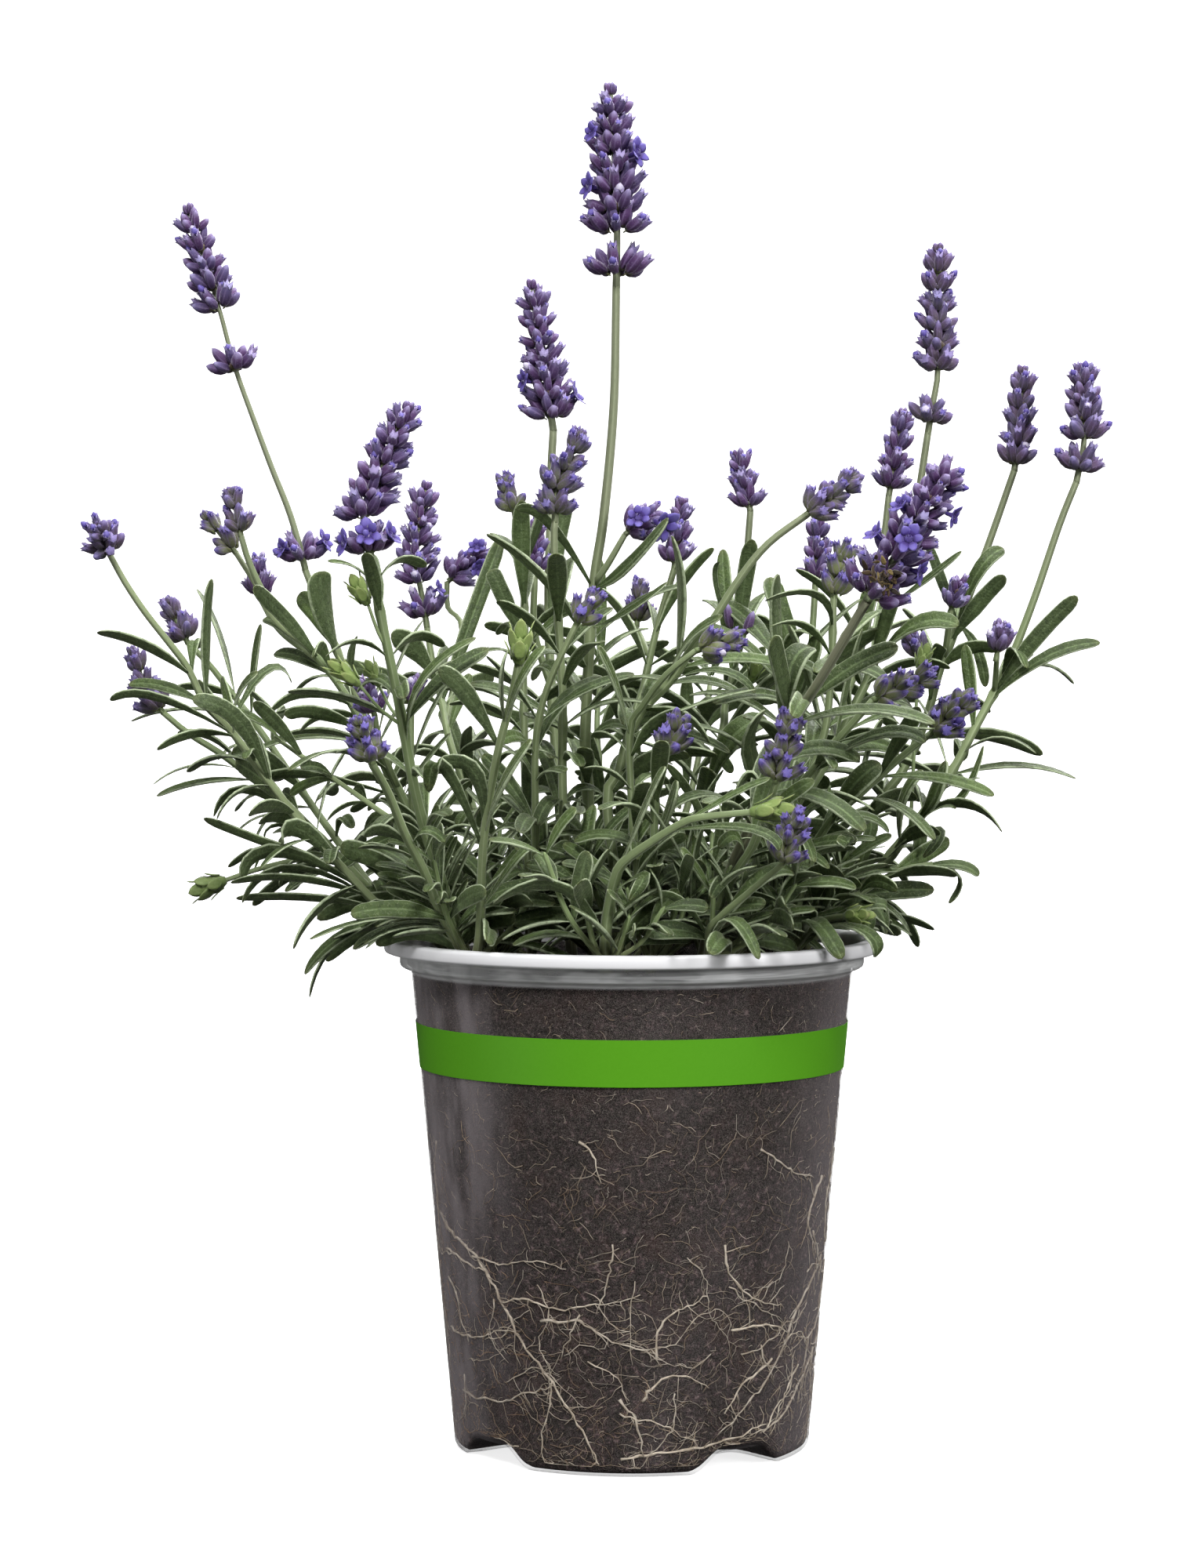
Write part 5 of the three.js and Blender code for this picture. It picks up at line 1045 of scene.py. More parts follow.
# more leaves that are seen one by one: clump, stem, height, middle, tip, width, roll
moreLeaves = [
    ["front_left", 0, 115, [-48.5, 118.6, -29], [-59, 116.6, -26], 4.4, 55],
    ["left", 0, 166, [-74.4, 170.2, -3], [-83.4, 170, -4], 3, 20],
    ["left", 0, 165, [-72.6, 169.6, -8], [-80, 169, -9], 4.2, 50],
    ["left", 0, 150, [-78, 156, -6], [-88, 154, -7], 3.6, 40],
    ["far_left_back", 0, 140, [-88, 152, 0], [-98.5, 146.5, -1], 3.4, 40],
    ["far_left_back", 0, 136, [-80, 144, -4], [-87.6, 142, -5], 2.4, 30],
    ["far_left_front", 0, 134, [-77, 143, -20], [-82.5, 139, -22], 5.4, 60],
    ["far_left_front", 0, 130, [-82, 138, -20], [-92.7, 132.5, -21], 4.6, 50],
    ["far_left_front", 0, 127, [-79, 134, -17], [-91.6, 126.5, -18], 3, 40],
    ["far_left_back", 0, 124, [-66, 126.5, 5], [-70.8, 123, 4], 5, 60],
    ["far_left_front", 0, 122, [-58.6, 126, -16], [-63, 123, -17], 2.4, 30],
    ["left", 0, 124, [-57, 135, -14], [-67, 138, -15], 5.6, 60],
    ["left_front", 0, 162, [-49, 176.5, -31], [-36.2, 187.5, -32], 4, 50],
    ["left_back", 1, 176, [-50.9, 185, 40], [-56, 187, 38], 6, 60],
    ["front_left", 1, 163, [-39, 175, -44], [-44.5, 178.5, -44], 4.8, 60],
    ["front_left", 1, 168, [-30.4, 177, -46], [-29.4, 184, -46], 4, 80],
    ["front_left", 1, 168, [-26, 177, -46], [-21.5, 186, -45], 4.4, 70],
    ["front_left", 1, 140, [-44, 158, -44], [-47.5, 150, -45], 4, 30],
    ["left_centre", 0, 186, [-29.7, 196.5, 5], [-32.4, 202.5, 4], 4.4, 60],
    ["left_centre", 0, 184, [-18.3, 191, 4], [-13, 194.2, 3], 3.4, 50],
    ["far_right", 0, 139, [62.3, 149.3, 0], [66.5, 157, 0], 6, 80],
    ["far_right", 0, 144, [70, 151, 1], [71, 158.5, 1], 5.6, 80],
    ["far_right", 0, 150, [75.3, 153.4, 5], [80.5, 154.5, 4], 2, 10],
    ["far_right", 0, 141, [70.4, 147.2, 2], [75, 147.4, 1], 2.2, 10],
    ["right_back", 0, 133, [55, 145, 6], [53, 132.5, 4], 3.8, 30],
    ["far_right", 0, 135, [66.5, 141.5, -3], [64.6, 131, -4], 4, 30],
    ["far_right", 0, 140, [71, 142.6, -2], [67.7, 135.5, -3], 2.6, 20],
    ["right_low", 1, 120, [54, 126, -20], [60.8, 118.6, -22], 6.6, 35],
    ["right_front", 1, 157, [57, 165, -31], [68.5, 164.3, -31], 4, 45],
    ["right_low", 0, 145, [50.5, 152, -26], [57.3, 158.4, -26], 6, 80],
    ["right_front", 1, 140, [43.5, 149.3, -36], [47, 150.2, -36], 4.4, 40],
    ["right_front", 1, 136, [46, 140.4, -40], [50.8, 139, -42], 4, 45],
    ["back_right", 1, 174, [35.7, 189, 40], [33, 201.5, 40], 6.6, 85],
    ["right_front", 0, 164, [36, 179, -42], [41.4, 186.6, -42], 8, 85],
    ["back_centre", 0, 150, [22, 163, 12], [30.8, 170.3, 10], 7.4, 85],
    ["right_low", 0, 122, [52, 123.6, -28], [55, 117.5, -31], 4.6, 40],
    ["back_centre", 0, 184, [19.4, 198, 30], [18.6, 205, 29], 1.6, 80],
    ["back_centre", 0, 174, [27.5, 181, 28], [30, 184.5, 27], 3.4, 60],
]
# single buds on thin stalks: stem, where the stalk leaves it, the bud's foot and its tip, half its
# width, and how dark a green one is (none: it's a purple one)
sideBuds = {
    "back_centre": [(0, 181, [22.8, 188.8, 24], [22, 194.4, 23], 1.05, None),
                    (0, 179, [26.2, 187.6, 20], [28, 192.6, 19], 1.05, None),
                    (0, 174, [27.6, 176.6, 22], [29.6, 183, 22], 1.6, 0.4)],
    "left_front": [(0, 184, [-60.8, 194.3, -29], [-64.6, 200.8, -29], 2.1, 0.1),
                   (0, 167, [-62.8, 175.8, -31], [-69.3, 181.2, -31], 1.9, 0),
                   (0, 168, [-58.3, 175.6, -22], [-61, 181.2, -22], 1.6, 0.9)],
    "far_right": [(0, 142, [66, 179.6, 2], [68.4, 185, 2], 1.7, 0.8)],
}
# and leaves of the solids that are broader here: clump, which of its leaves
broader = {("left_back", 0): 9, ("front_left", 0): 4.2, ("front_left", 2): 4.4, ("front_left", 3): 5.4,
           ("right_tall", 0): 5.4, ("right_low", 3): 5, ("right_low", 4): 4.6, ("front_centre", 1): 4,
           ("centre_tall", 1): 5}
moreRoom = {"own": 0.4, "other": 0.5}


def addMoreLeaves(lines, leaves):
    names = [clump["name"] for clump in clumps]
    for name, which, *said in moreLeaves:
        owner = names.index(name)
        tried = handTries(lines[owner][which], said)
        if not settle(leaves, owner, tried, moreRoom):
            leaves[owner].append(tried[0])


# and those that only fill: pairs between the solids' own, and short leafy shoots near the soil
fill = {"step": 8, "stepVaries": (0.8, 0.4), "apart": 4, "firstTurn": 0.6, "tryTurn": 0.5,
        "size": (0.6, 0.45), "tries": 3, "own": 0.5, "other": 0.6, "sag": 0.9}
shoot = {"each": 5, "inward": 4, "low": (8.6, 5), "fan": 2.6, "lean": (0.35, 0.75), "long": (14, 20),
         "rise": 0.7, "thick": (0.75, 0.55), "tries": 8, "shares": (0.4, 0.6, 0.8, 1),
         "room": 1, "claims": 0.8, "rooted": 2, "own": 0.5, "other": 0.8}
shootLeaf = {"leaf": (19, 13), "wide": (3.2, 2), "pairs": 3, "at": (0.45, 0.55), "size": (1, -0.18),
             "tries": 3, "tryTurn": 0.6, "own": 0.45, "other": 0.55}


def fillLeaves(lines, leaves):
    for owner, clump in enumerate(clumps):
        for line, stem in zip(lines[owner], clump["stems"]):
            solid = pairsOf(line, stem)
            if not solid:
                continue
            draw = drawFrom(stem["seed"] + seeds["fill"])
            at, turn = solid[0] - fill["step"] / 2, fill["firstTurn"]
            while at < solid[-1]:
                at += fill["step"] * valueAt(fill["stepVaries"], draw())
                turn += math.pi / 2
                if min(abs(at - s) for s in solid) < fill["apart"]:
                    continue
                for half in range(2):
                    turns = [turn + half * math.pi + fill["tryTurn"] * k for k in range(fill["tries"])]
                    tried = (pairLeaf(stem, line, at, t, draw, valueAt(fill["size"], draw()),
                                      fill["sag"] * draw()) for t in turns)
                    settle(leaves, owner, tried, fill)


def shootLeaves(line, long, owner, leaves, draw):
    form = shootLeaf
    made = {"leafy": (line[0][2], line[-1][2] + 1),
            "leaf": (valueAt(form["leaf"], draw()), valueAt(form["wide"], draw()))}
    for pair in range(form["pairs"]):
        at = long * (form["at"][0] + form["at"][1] * pair / (form["pairs"] - 1))
        for half in range(2):
            turns = [pair * math.pi / 2 + half * math.pi + form["tryTurn"] * k
                     for k in range(form["tries"])]
            tried = (pairLeaf(made, line, at, t, draw, valueAt(form["size"], pair)) for t in turns)
            settle(leaves, owner, tried, form)


def makeShoots(lines, leaves):
    form = shoot
    shoots = [[] for _ in clumps]
    for owner, clump in enumerate(clumps):
        draw = drawFrom(owner + seeds["shoots"])
        outward = math.atan2(clump["foot"][1], clump["foot"][0])
        for k in range(form["each"]):
            for _ in range(form["tries"]):
                start = along(lines[owner][0], valueAt(form["low"], draw()))[0]
                angle = outward + form["fan"] * (draw() - 0.5) + (math.pi if k == form["inward"] else 0)
                lean, long = valueAt(form["lean"], draw()), valueAt(form["long"], draw())
                first = unit(spun(up, vec(math.cos(angle), math.sin(angle), 0), lean))
                then = unit(first + up * form["rise"])
                line = [start, start + first * long * 0.5, start + (first + then) * long * 0.5]
                places = np.array([along(line, long * s)[0] for s in form["shares"]])
                room, claims = (np.full(len(places), form[name], float) for name in ("room", "claims"))
                if isClear(places, room, owner * 100, form["rooted"], form):
                    claim(places, claims, owner * 100, form["rooted"])
                    shoots[owner].append(line)
                    shootLeaves(line, long, owner, leaves, draw)
                    break
    return shoots


# what the finishes know of each part of the growth: how green or brown it is
looks = {"stem": 0.2, "brown": (0.1, 0.2), "woody": ("right_front", 0), "bud": 0.15,
         "darkBuds": "far_left_back", "shoot": 0.4, "stalk": 0.3, "young": (0.3, 0.25)}
stalk = {"thick": (0.45, 0.35), "sag": 1}


def makeClump(owner, lines, leaves, shoots, materials):
    name = clumps[owner]["name"]
    skin = newSkin()
    draw = drawFrom(owner + seeds["growth"])
    for i, (line, stem) in enumerate(zip(lines, clumps[owner]["stems"])):
        brown = 1 if (name, i) == looks["woody"] else valueAt(looks["brown"], draw())
        addStem(skin, line, stem["thick"], pairsOf(line, stem), (draw(), looks["stem"], brown, 1), 1,
                tip=0.3)
        if "bud" in stem and stem["seed"] not in purpleTips:
            dark = 1 if name == looks["darkBuds"] else looks["bud"]
            addBud(skin, headLine(line, stem), stem, draw, (draw(), 1, dark, 1), 2)
    for line in shoots:
        addStem(skin, line, shoot["thick"], [], (draw(), looks["shoot"], 0, 1), 1, tip=0.6)
    for which, height, foot, tip, half, dark in sideBuds.get(name, []):
        start, foot, tip = atHeight(lines[which], height), seen(foot), seen(tip)
        addStem(skin, [start, (start + foot) * 0.5 - up * stalk["sag"], foot], stalk["thick"], [],
                (draw(), looks["stalk"], 0, 1), 1, tip=0.3)
        if dark is None:
            long = np.linalg.norm(tip - foot)
            addCalyx(skin, foot, unit(tip - foot), vec(0, 0, 0), long, half, (0.5, 0.1, 0, 1), 3,
                     False)
        else:
            addBud(skin, [foot, (foot + tip) * 0.5, tip], {"reach": half}, draw,
                   (draw(), 1, dark, 1), 2)
    for leaf in leaves:
        young = looks["young"][0] * max(0, 1 - leaf["age"] * 2) * draw() + looks["young"][1] * draw()
        addLeaf(skin, leaf, draw, young)
    makeObject("growth_" + name, skin, materials, "foliage", "stems_" + name)


# the pot: rings of [radius, height], the whole wall lifted where a notch runs out between the feet
potForm = {
    "height": 117.5, "rimRadius": 57.2, "collarRadius": 53.6, "shoulderHeight": 110,
    "shoulderRadius": 50.9, "footRadius": 41.1, "footRound": 1.8, "wall": 0.3, "floor": 1,
    "straight": 10, "innerShoulder": 109.6, "innerFoot": 3, "around": 192,
}
# points of the wall: at the foot, how far inside its radius and how high, and in the collar, radius
# and height
footOutside = [(1.1, 0.14), (0.5, 0.5), (0.14, 1.1)]
footInside = [(0.1, 2.2), (0.5, 1.4), (1.2, 1)]
collar = [
    (51.15, 110.35), (51.9, 110.75), (52.9, 111.05), (53.4, 111.4), (53.6, 112), (53.6, 113.5),
    (53.75, 113.95), (54.2, 114.25), (55.4, 114.4), (56.5, 114.45), (57.0, 114.65), (57.2, 115.1),
    (57.2, 116.7), (57.05, 117.2), (56.6, 117.45), (56, 117.5), (54.4, 117.5), (53.6, 117.4),
    (53, 117.1), (52.7, 116.6), (52.6, 115.9), (52.6, 112.3), (52.35, 112), (51.9, 111.7),
    (51.2, 111.4), (50.75, 111),
]
drainForm = {"radius": 4, "away": 33, "around": 32, "from": 1, "to": 9}
notchForm = {"height": 4.7, "halfFoot": 12.7, "halfTop": 6, "inner": 22.5, "rise": 4, "first": 37,
             "fades": 9}
stripeForm = {"low": 88, "high": 98.5, "thick": 0.13, "off": 0.02, "edges": (0.05, 0.2)}
slope = (potForm["shoulderRadius"] - potForm["footRadius"]) / (
    potForm["shoulderHeight"] - potForm["footRound"])


def notchAngles():
    return [math.radians(notchForm["first"] + 90 * k) for k in range(4)]


def notchLift(x, y):
    form = notchForm
    lift = np.zeros(x.shape)
    for angle in notchAngles():
        dx, dy = math.sin(angle), -math.cos(angle)
        ahead, aside = x * dx + y * dy, np.abs(x * dy - y * dx)
        across = 1 - smooth(form["halfTop"] - 1, form["halfFoot"], aside)
        out = smooth(form["inner"], form["inner"] + form["rise"], ahead)
        lift = np.maximum(lift, form["height"] * across * out)
    return lift


def wallRadius(z):  # the outside of the wall
    return potForm["footRadius"] + (z - potForm["footRound"]) * slope


def ringsOf(profile, around):
    turn = turnsOf(around)
    profile = np.array(profile, float)
    x = profile[:, :1] * np.cos(turn)
    y = profile[:, :1] * np.sin(turn)
    z = profile[:, 1:] + notchLift(x, y) * (1 - smooth(0, notchForm["fades"], profile[:, 1:]))
    return np.stack([x, y, z], axis=-1)


def spacedBetween(a, b, count):
    return [tuple(p) for p in np.linspace(a, b, count, endpoint=False)]


def potProfile():
    form = potForm
    foot, shoulder, wall = form["footRadius"], form["shoulderRadius"], form["wall"]
    inFoot, low, floor = foot - wall, form["footRound"], form["floor"]
    straight = form["straight"]
    wider = (straight - low) * slope
    profile = spacedBetween((1, 0), (foot - low, 0), 20)
    profile += [(foot - inward, z) for inward, z in footOutside]
    profile += spacedBetween((foot, low), (foot + wider, straight), 6)
    profile += spacedBetween((foot + wider, straight), (shoulder, form["shoulderHeight"]), 10)
    profile += [(shoulder, form["shoulderHeight"])] + collar
    profile += [(shoulder - wall, form["shoulderHeight"] + wall)]
    inStraight = (inFoot + wider, straight)
    profile += spacedBetween((shoulder - wall, form["innerShoulder"]), inStraight, 10)
    profile += spacedBetween(inStraight, (inFoot, form["innerFoot"]), 6)
    profile += [(inFoot - inward, z) for inward, z in footInside]
    return profile + spacedBetween((inFoot - low, floor), (1, floor), 20)


def makePot(material):
    skin, drill = newSkin(), newSkin()
    addRings(skin, ringsOf(potProfile(), potForm["around"]))
    pot = makeObject("pot_shell", skin, [material], "clear_plastic", "pot")
    form = drainForm
    for angle in notchAngles():
        middle = vec(math.sin(angle), -math.cos(angle), 0) * form["away"]
        line = np.array([middle + up * form["from"], middle + up * form["to"]])
        addRings(drill, tube(line, vec(1, 0, 0), vec(0, 1, 0), form["radius"], form["around"]))
    drills = makeObject("drain_drills", drill, [], "clear_plastic")
    cut = pot.modifiers.new("drains", "BOOLEAN")
    cut.operation, cut.solver, cut.object = "DIFFERENCE", "EXACT", drills
    done = bpy.data.meshes.new_from_object(pot.evaluated_get(bpy.context.evaluated_depsgraph_get()))
    pot.modifiers.clear()
    pot.data = done
    bpy.data.objects.remove(drills)
    done.shade_smooth()


def makeStripe(material):
    form = stripeForm
    low, high, near = form["low"], form["high"], form["off"]
    middle = (low + high) / 2
    levels = [low] + [low + e for e in form["edges"]] + [middle]
    levels += [high - e for e in reversed(form["edges"])] + [high]
    profile = [(wallRadius(z) + near + form["thick"], z) for z in levels]
    profile += [(wallRadius(z) + near, z) for z in (high, middle, low)]
    rings = ringsOf(profile, potForm["around"])
    index = np.arange(rings.shape[0] * rings.shape[1]).reshape(rings.shape[:2])
    below, ahead = np.roll(index, -1, axis=0), np.roll(index, -1, axis=1)
    quads = np.stack([index, ahead, np.roll(below, -1, axis=1), below], axis=-1).reshape(-1, 4)
    skin = newSkin()
    addSkin(skin, rings.reshape(-1, 3), quads, [], np.zeros((index.size, 3)), plainTone, 0)
    makeObject("pot_stripe", skin, [material], "clear_plastic")


# the soil: a ball of crumbs inside the wall, whose rough top stands a little up in the collar
soilForm = {"top": 110, "mound": 1.2, "sunk": 7, "bareStem": 1.5, "inset": 0.02, "around": 256,
            "rows": 90, "rough": 0.34, "lift": 0.4, "edgeUp": 3.2, "edgeIn": 11, "heapFades": 5,
            "middle": 0.78, "heapDown": 2.4, "hub": 0.8, "foot": 1.6}
# its upper edge, which stands a little up in the collar: how far inside, and how high above top
soilEdge = [(0.05, 0), (0.05, 0.8), (0, 1.6), (0.1, 2.4), (0.5, 3), (1.1, 3.2)]
# layers of noise for the crumbs and the heaps: weight, how fine, seed
crumbForm = [(0.55, 0.8, 1), (0.3, 1.7, 2), (0.15, 0.25, 3)]
heapForm = [(2.6, 0.16, 4), (1.6, 0.55, 5), (0.9, 1.3, 6)]


def lattice(places, scale, seed):  # smooth noise between 0 and 1
    p = places * scale
    cell = np.floor(p).astype(np.int64)
    f = p - cell
    f = f * f * (3 - 2 * f)
    total = 0
    for corner in range(8):
        step = np.array([corner & 1, corner >> 1 & 1, corner >> 2 & 1])
        c = cell + step
        mix = (c[..., 0] * 73856093 ^ c[..., 1] * 19349663 ^ c[..., 2] * 83492791 ^ seed * 2654435761)
        mix = (mix ^ mix >> 13) * 1274126177 & 0xffffffff
        value = (mix ^ mix >> 16) % 65536 / 65535
        total = total + value * np.prod(np.where(step == 1, f, 1 - f), axis=-1)
    return total


def layered(places, layers):
    return sum(weight * lattice(places, scale, seed) for weight, scale, seed in layers)


def soilRadius(z):
    return wallRadius(z) - potForm["wall"] - soilForm["inset"]


def makeSoil(material):
    form = soilForm
    floor = potForm["wall"] + form["lift"]
    side, top = soilRadius(floor + 2), form["top"]
    edge = soilRadius(top)
    hub, foot = form["hub"], form["foot"]
    profile = spacedBetween((hub, floor), (side - foot, floor), 16)
    profile += [(side - foot, floor), (side - 0.5, floor + 0.6), (side, floor + 2)]
    profile += [(soilRadius(z), z) for z in np.linspace(floor + 3, top - foot, form["rows"])]
    profile += [(edge - inward, top + z) for inward, z in soilEdge]
    profile += [(r, top + form["edgeUp"] * float(smooth(edge - form["edgeIn"], edge, r)))
                for r, _ in spacedBetween((edge - foot, 0), (hub, 0), 36)]
    profile = np.array(profile)
    rings = ringsOf(profile, form["around"])
    isTop = (profile[:, 1] > top - 0.3) & (profile[:, 0] < edge - 0.3)
    isSide = (profile[:, 1] > floor + 1) & ~isTop
    outward = units(rings * vec(1, 1, 0))
    crumbs = (layered(rings, crumbForm) - form["middle"]) * form["rough"] * 2
    rings = rings + outward * (crumbs * isSide[:, None])[..., None]
    heap = layered(rings, heapForm) - form["heapDown"]
    fade = smooth(0, form["heapFades"], edge - foot - profile[:, 0])[:, None]
    rings[..., 2] += np.where(isTop[:, None], heap * fade, 0)
    skin = newSkin()
    addRings(skin, rings)
    makeObject("soil", skin, [material], "soil", "root_ball")


# the main roots that show: half their thickness, and [across, height] as the eye sees them
mainRoots = [
    (0.46, [[-44.5, 54], [-37.3, 44.3], [-34.6, 40.7], [-30, 32.6], [-26.4, 25.3], [-21, 17.2],
            [-15.6, 9], [-11, 1.5], [-7.5, -5.5]]),
    (0.26, [[-37.3, 43.4], [-30, 41.6], [-22, 42.4], [-15.6, 40.7]]),
    (0.26, [[-30, 32.6], [-24, 33.4], [-19.2, 31.3], [-8.3, 31.7], [1.6, 34.4]]),
    (0.34, [[-21, 28.1], [-11.9, 28.1], [-4.7, 23.5], [4.3, 21.7], [6.4, 17.5]]),
    (0.3, [[5.8, 19.5], [6.2, 26.2], [9.8, 29.9], [17.9, 34.4]]),
    (0.32, [[21.5, 46], [22.2, 41], [24.3, 37.1], [29.7, 32.6], [35.1, 31.7]]),
    (0.4, [[44, 44], [41.4, 37.1], [36.9, 28.1], [35.1, 22.6], [30.5, 13.5], [24.5, 6], [20, 2]]),
    (0.36, [[42, 22], [38.4, 13], [34.4, 5.7], [27, 1]]),
    (0.38, [[-2.2, -4.5], [9.8, -1.8], [20.6, -0.6], [31, 4.5]]),
    (0.34, [[-3, 10], [1.6, 4.5], [2.4, -3.2]]),
    (0.35, [[2.2, 9.4], [5.6, 13.7], [12.5, 15.5], [18, 12.4]]),
    (0.35, [[32.6, 19.5], [25.2, 13], [21.5, 6.7]]),
    (0.35, [[23.5, 26], [31, 27.4], [36, 25.5]]),
    (0.32, [[-43, 45], [-38, 42], [-34, 40]]),
    (0.32, [[-42, 27], [-36, 24.5], [-30.5, 26], [-26, 25]]),
    (0.35, [[-39, 12], [-32, 9.5], [-24, 11.5], [-19, 13]]),
    (0.3, [[-12, 70], [-8.5, 66], [-7.2, 60.5]]),
    (0.3, [[30, 68], [36, 64], [42, 62]]),
    (0.35, [[44, 62], [41, 52], [42.5, 44]]),
]
# roots jag and kink about their path on the unrolled ball, and each point may have a rootlet, a twig
rootForm = {
    "proud": 0.24, "step": 1.4, "around": 5, "jag": 0.7, "drift": 0.6, "kink": 0.5,
    "thins": (1, 0.4), "pale": 0.8, "twigPale": (0.4, 0.5),
    "thickVaries": (0.65, 0.7), "unroll": 46, "lowest": 2.2, "low": 2.4, "twigShare": 0.75,
    "twigLong": (1.5, 6.5), "twigThick": (0.06, 0.25), "twigTurn": (0.5, 0.8), "twigCurl": 1.3,
}
# how a seen place is found on the ball, the roots that are drawn on the rest of it, and the hairs
onFront = {"start": -45, "rounds": 12, "edge": 0.995, "lowest": 2.6}
sideRoots = {"count": 44, "every": 3, "fan": 1.3, "curl": 0.8, "step": 1.5, "thickVaries": 0.2,
             "longVaries": 26, "lowVaries": 46,
             "main": {"turn": 1.6, "long": 26, "thick": 0.26, "low": 40},
             "minor": {"turn": 3.4, "long": 9, "thick": 0.14, "low": 6}}
frontRoots = {"count": 30, "fan": 0.8, "long": (8, 22), "low": (4, 50), "step": 1.4, "curl": 0.9,
              "thick": (0.11, 0.12), "down": (1, 3), "turn": 1.6}
hairForm = {"count": 3900, "long": (1.3, 10), "thick": (0.03, 0.06), "low": (3, 106), "sparser": 1.45,
            "shortAbove": 80, "turn": 2.2, "curl": 1.6, "steps": 4, "proud": (0.06, 0.13),
            "rustyBelow": 50, "shorter": 0.5, "lessRust": 0.3, "thins": (1, 0.5)}


def onBall(across, height):  # where the eye's line to a seen place meets the front of the root ball
    y = onFront["start"]
    for _ in range(onFront["rounds"]):
        x, y, z = fromEye(across, height, y)
        radius = soilRadius(z)
        x = min(max(x, -radius * onFront["edge"]), radius * onFront["edge"])
        y = -math.sqrt(radius * radius - x * x)
    return math.atan2(y, x), max(z, onFront["lowest"])


def ballPoint(angle, z, out):
    x, y = (soilRadius(z) + out) * math.cos(angle), (soilRadius(z) + out) * math.sin(angle)
    lift = notchLift(np.array([x]), np.array([y]))[0]
    return vec(x, y, z + float(lift * (1 - smooth(0, notchForm["fades"], z))))


def addRoot(skin, line, radii, tone, around):
    addRings(skin, tube(line, *framesOf(line), radii, around), tone, share=np.linspace(0, 1, len(line)))


def wander(draw, angle, z, long, steps, heading, curl):  # a path on the ball: [angle, height]
    path = [(angle, z)]
    for _ in range(steps):
        heading += curl * (draw() - 0.5)
        angle += math.cos(heading) * long / steps / soilRadius(z)
        z = min(max(z + math.sin(heading) * long / steps, rootForm["low"]), soilForm["top"])
        path.append((angle, z))
    return path


def addHair(skin, draw, angle, z, long, heading, curl, thick, tone):
    path = wander(draw, angle, z, long, hairForm["steps"], heading, curl)
    line = np.array([ballPoint(a, h, valueAt(hairForm["proud"], draw())) for a, h in path])
    addRoot(skin, line, thick * np.linspace(*hairForm["thins"], len(line)), tone, 3)


def addMainRoot(skin, draw, path, thick):  # a jagged root with its rootlets
    form = rootForm
    flat = np.array([form["unroll"], 1])
    path = np.array(path)
    drift = np.zeros(2)
    for k in range(len(path)):
        drift = drift * form["drift"] + (np.array([draw(), draw()]) - 0.5) * form["jag"]
        kink = (np.array([draw(), draw()]) - 0.5) * form["kink"]
        path[k] += (drift + kink) / flat
    radii = thick * np.linspace(*form["thins"], len(path))
    radii = radii * valueAt(form["thickVaries"], np.array([draw() for _ in path]))
    line = np.array([ballPoint(a, max(z, form["lowest"]), form["proud"] - radius)
                     for (a, z), radius in zip(path, radii)])
    chance = draw()
    addRoot(skin, line, radii, (chance, form["pale"], 0, 1), form["around"])
    for k in range(1, len(path) - 1):
        if draw() > form["twigShare"]:
            continue
        run, rise = (path[k + 1] - path[k]) * flat
        turn = valueAt(form["twigTurn"], draw()) * (1 if k % 2 else -1)
        long = valueAt(form["twigLong"], draw() ** 2)
        twig = form["twigThick"][0] + form["twigThick"][1] * thick * draw()
        addHair(skin, draw, *path[k], long, math.atan2(rise, run) + turn, form["twigCurl"], twig,
                (chance, valueAt(form["twigPale"], draw()), 0, 1))


def rootAngle(form, k, draw):  # evenly round a part of the ball, measured from its middle
    return ((k + draw()) / form["count"] - 0.5) * form["fan"] * math.pi


def makeRoots(material):
    skin = newSkin()
    draw = drawFrom(seeds["roots"])
    flat = np.array([rootForm["unroll"], 1])
    for thick, seenPath in mainRoots:
        spots = [onBall(*p) * flat for p in seenPath]
        addMainRoot(skin, draw, smoothLine(spots, rootForm["step"]) / flat, thick)
    form = sideRoots
    for k in range(form["count"]):  # main roots on the sides and back, in the same manner
        kind = form["minor" if k % form["every"] else "main"]
        angle = math.pi / 2 + rootAngle(form, k, draw)
        heading = -math.pi / 2 + (draw() - 0.5) * kind["turn"]
        long = kind["long"] + form["longVaries"] * draw()
        thick = kind["thick"] + form["thickVaries"] * draw() ** 2
        steps = int(long / form["step"])
        low = kind["low"] + form["lowVaries"] * draw()
        path = wander(draw, angle, low, long, steps, heading, form["curl"])
        addMainRoot(skin, draw, path, thick)
    form = frontRoots
    for k in range(form["count"]):  # and thinner ones low on the front
        angle = -math.pi / 2 + rootAngle(form, k, draw)
        down = k % 2 == 1
        heading = -math.pi / 4 * valueAt(form["down"], draw()) if down else (draw() - 0.5) * form["turn"]
        long = valueAt(form["long"], draw())
        steps = int(long / form["step"])
        path = wander(draw, angle, valueAt(form["low"], draw()), long, steps, heading, form["curl"])
        addMainRoot(skin, draw, path, valueAt(form["thick"], draw()))
    form = hairForm
    for _ in range(form["count"]):
        z = form["low"][1] * draw() ** form["sparser"] + form["low"][0]
        angle = 2 * math.pi * draw()
        long = valueAt(form["long"], draw() ** 3)
        long *= form["shorter"] if z > form["shortAbove"] else 1
        thick = valueAt(form["thick"], draw() ** 2)
        heading = (draw() - 0.5) * form["turn"] + (math.pi if draw() < 0.5 else 0)
        rust = 1 if z < form["rustyBelow"] else form["lessRust"]
        rusty = max(0, -math.cos(angle)) * rust * draw()
        addHair(skin, draw, angle, z, long, heading, form["curl"], thick,
                (draw(), draw() ** 2, rusty, 1))
    makeObject("roots", skin, [material], "soil")


